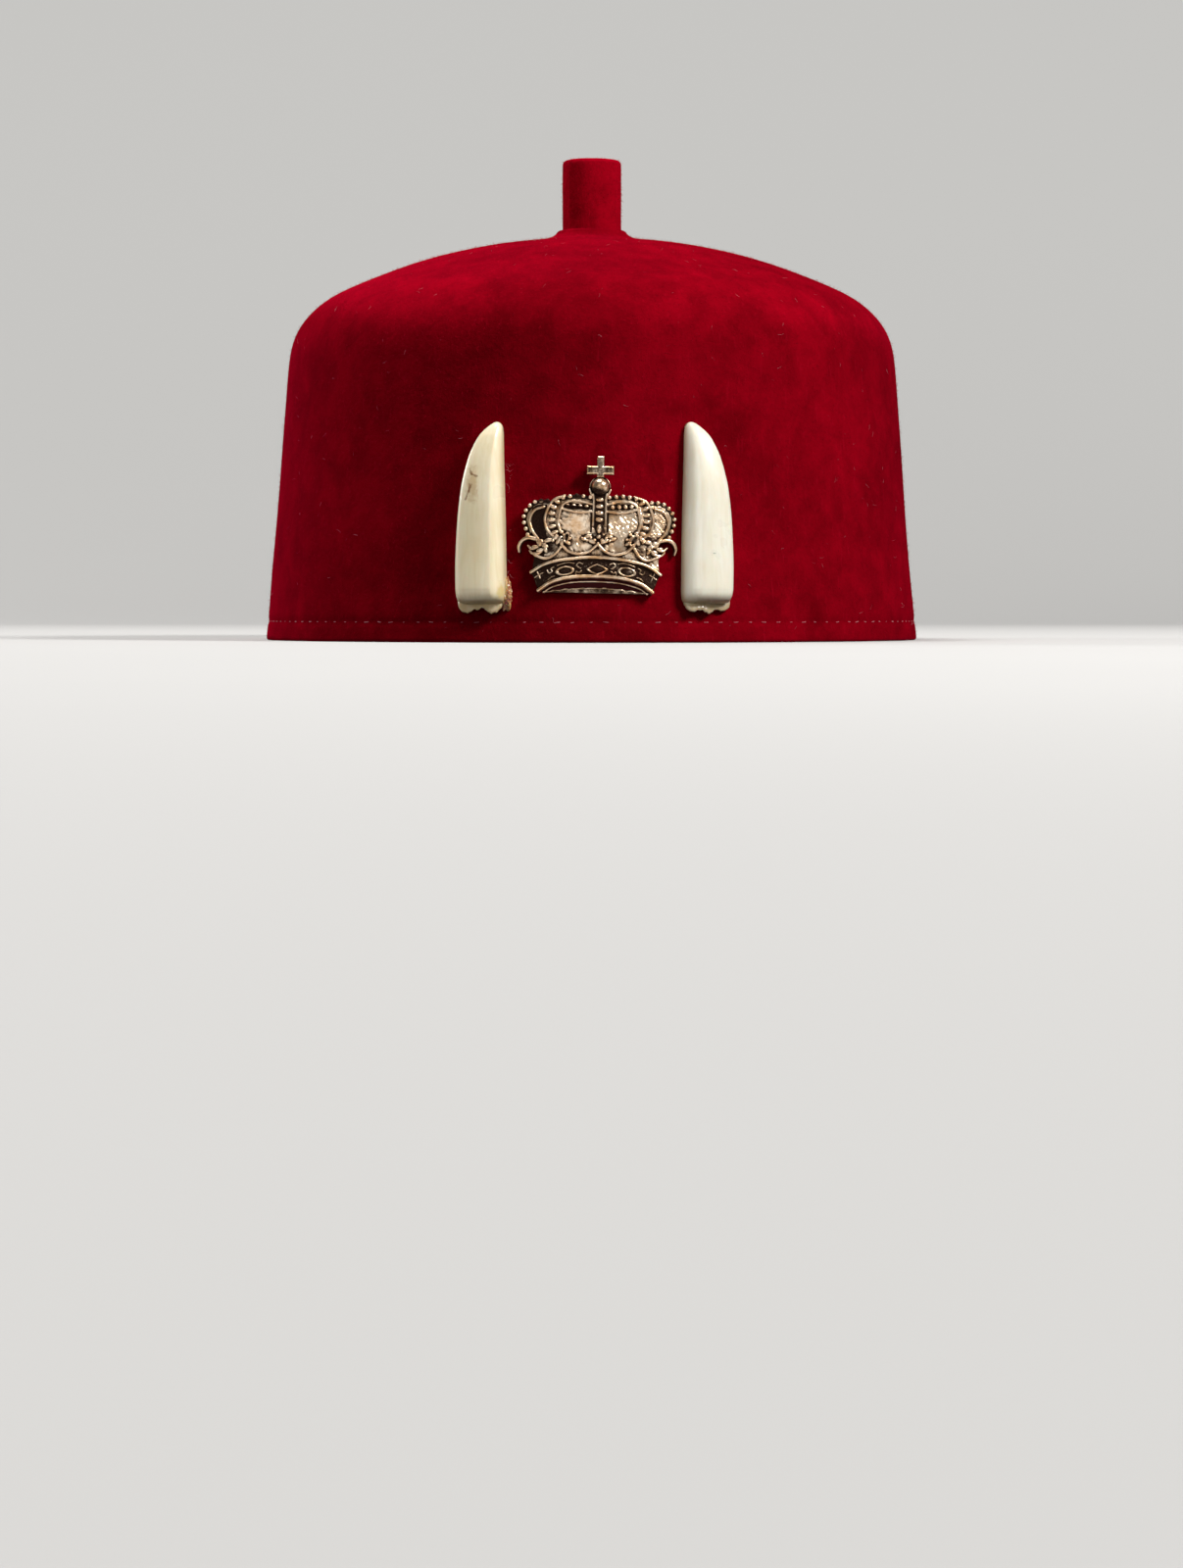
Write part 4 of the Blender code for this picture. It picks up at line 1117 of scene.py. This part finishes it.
class Relief:
    # heights over a flat grid, how far each point lies inside the metal, where it is dark, and where it is
    # tarnished or painted with shade

    def __init__(self):
        step, margin = badgeLook["grid"], badgeLook["margin"]
        half = badgeLook["span"] / 2 + margin
        self.xs = np.arange(-half, half + step, step)
        self.ys = np.arange(-margin, badgeLook["height"] + margin + step, step)
        self.x, self.y = np.meshgrid(self.xs, self.ys, indexing="ij")
        self.face = faceHeight(self.x / badgeLook["span"])
        self.inside = np.full(self.x.shape, -1.0)
        self.height, self.dark, self.tarnishAndShade = (np.zeros(self.x.shape) for _ in range(3))

    def near(self, line, reach=0.0016):
        away = np.full(self.x.shape, 1.0)
        for start, end in zip(line, line[1:]):
            low, high = np.minimum(start, end) - reach, np.maximum(start, end) + reach
            i = slice(*np.searchsorted(self.xs, (low[0], high[0])))
            k = slice(*np.searchsorted(self.ys, (low[1], high[1])))
            x, y = self.x[i, k] - start[0], self.y[i, k] - start[1]
            run = end - start
            t = np.clip((x * run[0] + y * run[1]) / max(run @ run, 1e-12), 0, 1)
            away[i, k] = np.minimum(away[i, k], np.hypot(x - t * run[0], y - t * run[1]))
        return away

    def enclosed(self, outline):
        loop = np.vstack([outline, outline[:1]])
        away = self.near(loop, 0.003)
        odd = np.zeros(self.x.shape, bool)
        for (x0, y0), (x1, y1) in zip(loop, loop[1:]):
            if y0 != y1:
                crosses = (self.y < y0) != (self.y < y1)
                odd ^= crosses & (self.x < x0 + (self.y - y0) * (x1 - x0) / (y1 - y0))
        return np.where(odd, np.minimum(away, 0.003), -away)

    def add(self, inside, height):
        higher = (inside > 0) & ((self.inside <= 0) | (height > self.height))
        closer = (inside <= 0) & (inside > self.inside)
        self.height = np.where(higher | closer, height, self.height)
        self.inside = np.maximum(self.inside, inside)

    def shade(self, where, amount):
        self.dark = np.maximum(self.dark, np.where(where, amount, 0.0))

    def paint(self, where, dark=None, tarnishAndShade=None):
        if dark is not None:
            self.dark = np.where(where, dark, self.dark)
        if tarnishAndShade is not None:
            self.tarnishAndShade = np.where(where, tarnishAndShade, self.tarnishAndShade)

    def ridge(self, line, radius, lift=0.0):
        away = self.near(line)
        self.add(radius - away, self.face + lift + roundOver(radius, away))
        self.paint(away < radius, 0.0)

    def share(self, x, y, length, width, degrees, corner=2.0):
        turn = math.radians(degrees)
        u = (self.x - x) * math.cos(turn) + (self.y - y) * math.sin(turn)
        v = (self.y - y) * math.cos(turn) - (self.x - x) * math.sin(turn)
        return (np.abs(u / length) ** corner + np.abs(v / width) ** corner) ** (1 / corner)

    def mound(self, x, y, length, width, degrees, rise, lift=0.0):
        share = self.share(x, y, length, width, degrees)
        self.shade((share > 1.0) & (share < 1.0 + badgeLook["moundLine"] / width), 0.85)
        self.paint(share <= 1.0, 0.0)
        self.add((1 - share) * width, self.face + lift + rise * roundOver(1, share))

    def rimmed(self, x, y, length, width, degrees, rise, corner=2.0, boss=0.0):
        share = self.share(x, y, length, width, degrees, corner)
        rim = roundOver(1, np.abs(share - 0.86) * width / badgeLook["rimHalf"])
        self.paint(share <= 1.0, np.where(rim > 0.1, badgeLook["rimDark"], badgeLook["hollowDark"]))
        self.paint(share < 0.66, tarnishAndShade=badgeLook["hollowTarnish"])
        middle = boss * roundOver(1, share / 0.6)
        self.add((1 - share) * width, self.face - 0.0002 + rise * np.maximum(rim, middle))


def mirrored(half):
    return list(half) + [(-across, up) for across, up in half[1:-1]][::-1]


def polygonPoints(points):
    return np.array(points, float) * (badgeLook["span"], badgeLook["height"])


def bodyOutline():
    half = [tuple(p) for p in smoothLine(wholeLine(badgeLook["lowerRail"]), 4) if p[0] >= 0][::-1]
    half += badgeLook["bodySide"]
    for name in ("outerArchBeads", "innerArchBeads"):
        half += [tuple(p) for p in smoothLine(badgeLook[name], 4)[::-1]]
    return polygonPoints(mirrored(half + list(badgeLook["bodyNeck"])))


def noiseOver(x, y, scale, seed):
    return np.array([noise.noise(Vector((a * scale, b * scale, seed))) for a, b in zip(x, y)])


def softEdge(inside, radius):
    deep = np.clip(inside, 0, radius)
    return np.sqrt(np.maximum(radius ** 2 - (radius - deep) ** 2, 0.0)) - radius


def blur(values, cells):
    kernel = np.exp(-0.5 * (np.arange(-3 * cells, 3 * cells + 1) / cells) ** 2)
    kernel /= kernel.sum()
    rows = np.apply_along_axis(np.convolve, 0, values, kernel, mode="same")
    return np.apply_along_axis(np.convolve, 1, rows, kernel, mode="same")


def raiseBadge():
    look, relief = badgeLook, Relief()
    body = relief.enclosed(bodyOutline())
    foot = relief.enclosed(polygonPoints(mirrored(look["foot"])))
    relief.add(foot, np.full(relief.x.shape, look["footHeight"]))
    plate = relief.face - look["plateDrop"] + softEdge(body, 0.0004)
    upper, lower = (flatLine(wholeLine(look[name])) for name in ("upperRail", "lowerRail"))
    upperAt, lowerAt = (np.interp(relief.x, line[::-1, 0], line[::-1, 1]) for line in (upper, lower))
    band = (relief.y < upperAt) & (relief.y > lowerAt)
    plate = np.where(band, plate - look["bandDrop"], plate)
    channels = [(name, 0.00072, 1.0) for name in ("innerArchBeads", "outerArchBeads", "backArchBeads")]
    channels.append(("innerArchLumps", 0.00095, 0.72))
    for side in (1, -1):
        for name, reach, amount in channels:
            away = relief.near(flatLine(look[name], side))
            plate -= look["channelDrop"] * np.clip(1.35 - away / reach, 0, 1)
            relief.dark = np.maximum(relief.dark, amount * np.clip(2.2 - 1.5 * away / reach, 0, 1))
            if name in ("innerArchBeads", "outerArchBeads"):
                flange = look["flange"] - away
                relief.add(flange, relief.face - 0.0006 + softEdge(flange, 0.0003))
    groove = np.abs(np.abs(relief.x) - look["postHalf"] - 0.00048) < 0.00022
    groove &= (relief.y > 0.44 * look["height"]) & (relief.y < 0.60 * look["height"])
    plate = np.where(groove, plate - look["grooveDrop"], plate)
    relief.shade(groove, 1.0)
    relief.add(body, plate)
    relief.shade(band, look["bandDark"])
    # the lens between the lower rail and the foot strip is painted dark, painted shade, and red-brown, a
    # painted reflection of the felt
    relief.lens = (relief.y < lowerAt) & (relief.height < look["lensBelow"]) & (relief.y > footTop(relief.x))
    relief.shade(relief.lens, look["lensShade"])
    raiseSides(relief)
    relief.ridge(upper, look["upperBand"], 0.0001)
    relief.ridge(lower, look["lowerBand"], 0.0001)
    under, radius = relief.near(flatLine(wholeLine(look["underLine"]))), look["underRadius"]
    relief.add(radius - under, 0.0011 + roundOver(radius, under))
    relief.paint(under < 0.8 * radius, look["underDark"])
    raiseFootRail(relief)
    raisePost(relief)
    raiseOrb(relief)
    raiseCross(relief)
    roughen(relief, upperAt)
    return relief


def raiseSides(relief):
    look = badgeLook
    for side in (1, -1):
        for line in look["archRails"]:
            relief.ridge(flatLine(line, side), look["archRail"], 0.00006)
        for line in look["swags"]:
            relief.ridge(flatLine(line, side), look["swag"], 0.00004)
        for scroll in look["scrolls"]:
            line = smoothLine(scroll, 6) * (side * look["span"], look["height"], 0.001)
            for i, radius in enumerate(line[:-1, 2]):
                relief.ridge(line[i:i + 2, :2], radius)
        for petal in look["petals"]:
            relief.mound(*inMetres(petal, side), look["petalRise"])
        for across, up, radius in look["knobs"]:
            relief.mound(*inMetres((across, up, radius, radius, 0), side), look["knobRise"], 0.0001)
        relief.rimmed(*inMetres(look["hollowPetals"][side], side), look["hollowRise"])
        for curl in look["curls"]:
            line = smoothLine([(side * x / 1000, y / 1000) for x, y in curl], 4)
            relief.ridge(line, look["curlRadius"], look["curlLift"])
            relief.paint(relief.near(line) < look["curlRadius"], tarnishAndShade=look["curlTarnish"])
        for stone in look["stones"]:
            if side > 0 or stone[0] > 1:
                relief.rimmed(*inMetres(stone, side), look["stoneRise"], stone[5], look["stoneBoss"])


def footTop(x):
    share = x / (badgeLook["footHalf"] * badgeLook["span"])
    return np.maximum(badgeLook["footRise"] * (1 - share ** 2), badgeLook["footLeast"])


def raiseFootRail(relief):
    look = badgeLook
    ragged = np.array([noise.noise(Vector((x * 700, 0.0, 4.0))) for x in relief.xs])[:, None]
    strip = footTop(relief.x) + look["footRag"] * ragged - relief.y
    strip = np.minimum(strip, look["footHalf"] * look["span"] - np.abs(relief.x))
    strip = np.where(relief.y > 0.0, strip, -1.0)
    relief.add(strip, look["footOut"] + softEdge(strip, 0.0003))
    relief.paint(strip > 0, 0.0, look["footTarnish"][0] + look["footTarnish"][1] * ragged)
    line = np.abs(strip - look["footLine"])
    radius = look["footLineRadius"][0] + look["footLineRadius"][1] * ragged
    relief.add(radius - line, look["footLineOut"] + roundOver(radius, line))
    relief.paint(line < radius, tarnishAndShade=look["footLineTarnish"])


def raisePost(relief):
    look, tall = badgeLook, badgeLook["height"]
    half, foot, top, orbUp = look["postHalf"], *(look[k] * tall for k in ("postFoot", "postTop", "orbUp"))
    strip = relief.enclosed(np.array([(-half, foot), (half, foot), (half, top), (-half, top)]))
    relief.add(strip, relief.face + 0.00004)
    relief.paint(strip > 0, look["postDark"])
    for edge in (-1, 1):
        rail = [(edge * half, foot), (edge * half, top), (edge * (half + 0.0004), orbUp - 0.0023),
                (edge * look["orbRim"] * 0.97, orbUp - 0.0008)]
        relief.ridge(smoothLine(rail, 5), look["postRail"], 0.00024)
    relief.mound(0.0, 0.465 * tall, 0.00062, 0.00115, 0, 0.0011, 0.0001)


def raiseOrb(relief):
    look, orbUp, rimRadius = badgeLook, badgeLook["orbUp"] * badgeLook["height"], badgeLook["orbRim"]
    share = relief.share(0.0, orbUp, rimRadius, rimRadius, 0)
    relief.add(rimRadius - rimRadius * share, relief.face - 0.0004)
    away = np.hypot(relief.x, relief.y - orbUp)
    relief.paint(away < rimRadius, look["orbGap"])
    rim = 0.00018 - np.abs(away - rimRadius + 0.00018)
    relief.add(rim, relief.face - 0.0001 + np.sqrt(np.maximum(rim, 0) * 0.00036))
    relief.paint(rim > 0, 0.0)
    relief.mound(0.0, orbUp, look["orb"], look["orb"], 0, look["orb"])
    # the orb is painted darker towards its lower left
    low = np.clip((orbUp - relief.y - 0.25 * relief.x) / 0.0017 + 0.15, 0, 0.8)
    relief.paint(away < look["orb"], tarnishAndShade=low)


def raiseCross(relief):
    look, tall, base = badgeLook, badgeLook["height"], relief.face.max() + 0.0003
    collar, mid = look["collarUp"] * tall, look["crossUp"] * tall
    cone = relief.enclosed(np.array([(-0.00105, collar - 0.0010), (0.00105, collar - 0.0010),
                                     (0.0005, collar + 0.0009), (-0.0005, collar + 0.0009)]))
    relief.add(cone, base + softEdge(cone, 0.0006))
    arm, armHalf, bar = look["crossArm"], look["crossArmHalf"], look["crossBar"]
    right = [(bar, collar), (bar, mid - armHalf), (arm, mid - armHalf), (arm, mid + armHalf),
             (bar, mid + armHalf), (bar, tall)]
    cross = relief.enclosed(np.array(right + [(-x, y) for x, y in right[::-1]]))
    relief.add(cross, base + np.clip(cross, 0, 0.00034))
    # the cross's face is painted darker than its bevels: partly tarnish, partly a painted dark reflection
    relief.paint(cross > 0.00036, tarnishAndShade=look["crossTarnishAndDarkReflection"])


def roughen(relief, upperAt):
    look, tall = badgeLook, badgeLook["height"]
    metal = relief.inside > -2 * look["grid"]
    x, y = relief.x[metal], relief.y[metal]
    turn = math.radians(look["strokeDegrees"])
    along, across = x * math.cos(turn) + y * math.sin(turn), y * math.cos(turn) - x * math.sin(turn)
    strokes, grains, calm = (np.zeros(relief.x.shape) for _ in range(3))
    strokes[metal] = noiseOver(0.38 * along, across, look["strokeScales"][0], 2.0)
    strokes[metal] += 0.5 * noiseOver(0.4 * along, across, look["strokeScales"][1], 7.0)
    grains[metal] = noiseOver(x, y, look["grainScale"], 5.0)
    calm[metal] = noiseOver(x, y, look["calmScale"], 9.0)
    share = np.abs(relief.x) / look["span"]
    panel = (relief.inside > 0) & (relief.y > upperAt) & (relief.y < look["postTop"] * tall)
    panel &= (relief.height < relief.face + 0.00002) & (relief.dark < 0.3) & (share < look["panelHalf"])
    outer, low, right = share > look["panelOuter"], relief.y < look["panelLow"] * tall, relief.x > 0
    amount = np.where(panel & ~low & ~outer, np.clip(0.75 + 1.6 * calm, 0.15, 1.3), 0.0)
    amount = np.where(panel & outer & right, np.clip((0.60 * tall - relief.y) / 0.003, 0.1, 1.0), amount)
    speckle = (relief.dark > 0.8) & (relief.y < upperAt) & ~relief.lens
    relief.paint(speckle, relief.dark - look["speckle"] * np.maximum(grains, 0))
    depth = np.clip(relief.inside / 0.0004, 0, 1)
    grainy = (panel & (low | outer)) | speckle
    relief.height += look["stroke"] * strokes * depth * amount
    relief.height += look["grain"] * grains * depth * np.where(grainy, 1.0, 0.2)
    # the left outer panel is painted much darker than the right one: tarnish plus painted shade on the side
    # turned from the key light
    for where, (base, change) in ((relief.x < 0, look["leftTarnishAndShade"]), (right, look["rightTarnish"])):
        relief.paint(panel & outer & where, tarnishAndShade=base + change * calm)
    speckled = look["lowTarnish"][0] + look["lowTarnish"][1] * grains
    relief.paint(panel & low, tarnishAndShade=np.maximum(relief.tarnishAndShade, speckled))
    # painted shade: darker patches around the side clusters and under the post
    for across, up, wide, high, amount in look["shadowed"]:
        patch = np.clip(1.3 - relief.share(*inMetres((across, up, wide, high, 0))), 0, 0.6) / 0.6
        relief.paint(panel, tarnishAndShade=np.maximum(relief.tarnishAndShade, patch * (amount + 0.5 * calm)))
    relief.panel = panel


def onBadge(flat):
    turn = math.radians(badgeLook["turnDegrees"])
    x, y, out = flat.T
    x = x + badgeLook["lean"] * np.clip((y - badgeLook["leanFrom"]) / badgeLook["leanOver"], 0, 1)
    along = badgeLook["offCentre"] + x * math.cos(turn) + y * math.sin(turn)
    up = badgeLook["aboveHem"] + y * math.cos(turn) - x * math.sin(turn)
    return onWall(along, up, badgeLook["seat"] + out)


def bendToWall(piece):
    flat = np.array([v.co for v in piece.data.vertices])
    piece.data.vertices.foreach_set("co", onBadge(flat).ravel())


def keepTouchingCells(cells):
    while True:
        a, b, c, d = cells[:-1, :-1], cells[1:, :-1], cells[:-1, 1:], cells[1:, 1:]
        first, second = a & d & ~b & ~c, b & c & ~a & ~d
        if not (first.any() or second.any()):
            return cells
        cells[1:, :-1] |= first
        cells[:-1, :-1] |= second


def recessAndShadeOf(relief):
    low = blur(relief.height, 6)
    cavity = np.clip((low - relief.height) / 0.00030 + 0.12, 0, 1)
    cavity = np.where(relief.panel, 0.85 * cavity, cavity)
    shaded = relief.dark * np.clip(1.2 - (relief.height - low) / 0.0003, 0, 1)
    return np.clip(np.maximum(np.maximum(cavity, shaded), relief.tarnishAndShade), 0, 1)


def castBadge():
    relief = raiseBadge()
    inside, step = relief.inside, badgeLook["grid"]
    solid = inside > 0
    cells = keepTouchingCells(solid[:-1, :-1] | solid[1:, :-1] | solid[:-1, 1:] | solid[1:, 1:])
    gradient = np.array(np.gradient(inside, step))
    slope = np.maximum(np.hypot(*gradient), 1e-6)
    move = np.where(solid, 0.0, np.minimum(-inside, step))
    x, y = relief.x + gradient[0] / slope * move, relief.y + gradient[1] / slope * move
    recess = recessAndShadeOf(relief)
    used = np.zeros(inside.shape, bool)
    for i, k in ((0, 0), (1, 0), (1, 1), (0, 1)):
        used[i:i + cells.shape[0], k:k + cells.shape[1]] |= cells
    index = np.full(inside.shape, -1)
    index[used] = np.arange(used.sum())
    bm = bmesh.new()
    front = [bm.verts.new(p) for p in zip(x[used], y[used], relief.height[used])]
    for i, k in zip(*np.nonzero(cells)):
        bm.faces.new([front[index[p]] for p in ((i, k), (i + 1, k), (i + 1, k + 1), (i, k + 1))])
    rim = [tuple(edge.verts) for edge in bm.edges if edge.is_boundary]
    collar = (badgeLook["orbUp"] + 0.05) * badgeLook["height"]
    behind, back = {}, []
    for vert in (v for pair in rim for v in pair):
        if vert not in behind:
            depth = badgeLook["back"] * min(max((vert.co.y - collar) / 0.0008, 0.0), 1.0)
            behind[vert] = bm.verts.new((vert.co.x, vert.co.y, depth))
    for a, b in rim:
        bm.faces.new((a, b, behind[b], behind[a]))
        back.append(bm.edges.get((behind[a], behind[b])))
    bmesh.ops.triangle_fill(bm, edges=back, use_beauty=True, normal=(0, 0, -1))
    bmesh.ops.recalc_face_normals(bm, faces=bm.faces)
    casting = bmeshPiece("badge_casting", bm, gold)
    # the lens mask carries the painted shade and painted felt reflection to the gold
    for name, field, plain in (("recess", recess, 0.8), ("feltShadeReflection", relief.lens.astype(float), 0.0)):
        values = np.full(len(casting.data.vertices), plain)
        values[:len(front)] = field[used]
        storeValues(casting, name, values)
    bendToWall(casting)
    casting.data.set_sharp_from_angle(angle=math.radians(badgeLook["creaseDegrees"]))
    return casting


def beadTree():
    tree, given = newTree("beadRows", Object=["Rows"], Float=["Pitch", "Radius", "Dark Below"],
                          Vector=["Stretch"])
    points, along = pointsAlong(tree, given["Rows"], given["Pitch"])
    ball = addNode(tree, "GeometryNodeMeshUVSphere", {"Segments": 16, "Rings": 10,
                                                      "Radius": given["Radius"]}).outputs["Mesh"]
    height = parts(tree, position(tree))[2] / given["Radius"]
    stored = addNode(tree, "GeometryNodeStoreNamedAttribute", {"Geometry": ball, "Name": "recess"},
                     data_type="FLOAT", domain="POINT")
    plug(liveSocket(stored.inputs, "Value"),
         remap(tree, height, given["Dark Below"], given["Dark Below"] - 0.5, smooth=True))
    return endWithCopies(tree, given, points, stored.outputs[0], along, given["Stretch"])


def makeBeads(name, rows, look):
    points, edges = [], []
    for rowName, side, lift in rows:
        line = flatLine(badgeLook[rowName], side)
        edges += [(len(points) + i, len(points) + i + 1) for i in range(len(line) - 1)]
        points += [(x, y, float(faceHeight(x / badgeLook["span"])) + lift) for x, y in line]
    path = helperObject("beadPaths", points, edges)
    beads = makePiece(name, beadRows, look, rows=path, material=gold)
    dropHelpers(path)
    bendToWall(beads)
    return beads


casting = castBadge()
beadRows = beadTree()
rows = [(name, side, 0.00006) for side in (1, -1)
        for name in ("innerArchBeads", "outerArchBeads", "backArchBeads")]
beads = makeBeads("badge_beads", rows, badgeLook["beads"])
rows = [("postLumps", 1, 0.00026)] + [("innerArchLumps", side, -0.00010) for side in (1, -1)]
lumps = makeBeads("badge_arch_lumps", rows, badgeLook["lumps"])
dress(casting, "antique_gold", "badge")
dress(beads, "antique_gold")
dress(lumps, "antique_gold")
print("badge cast:", len(casting.data.polygons), "faces, beads:",
      len(beads.data.polygons) + len(lumps.data.polygons), "faces")
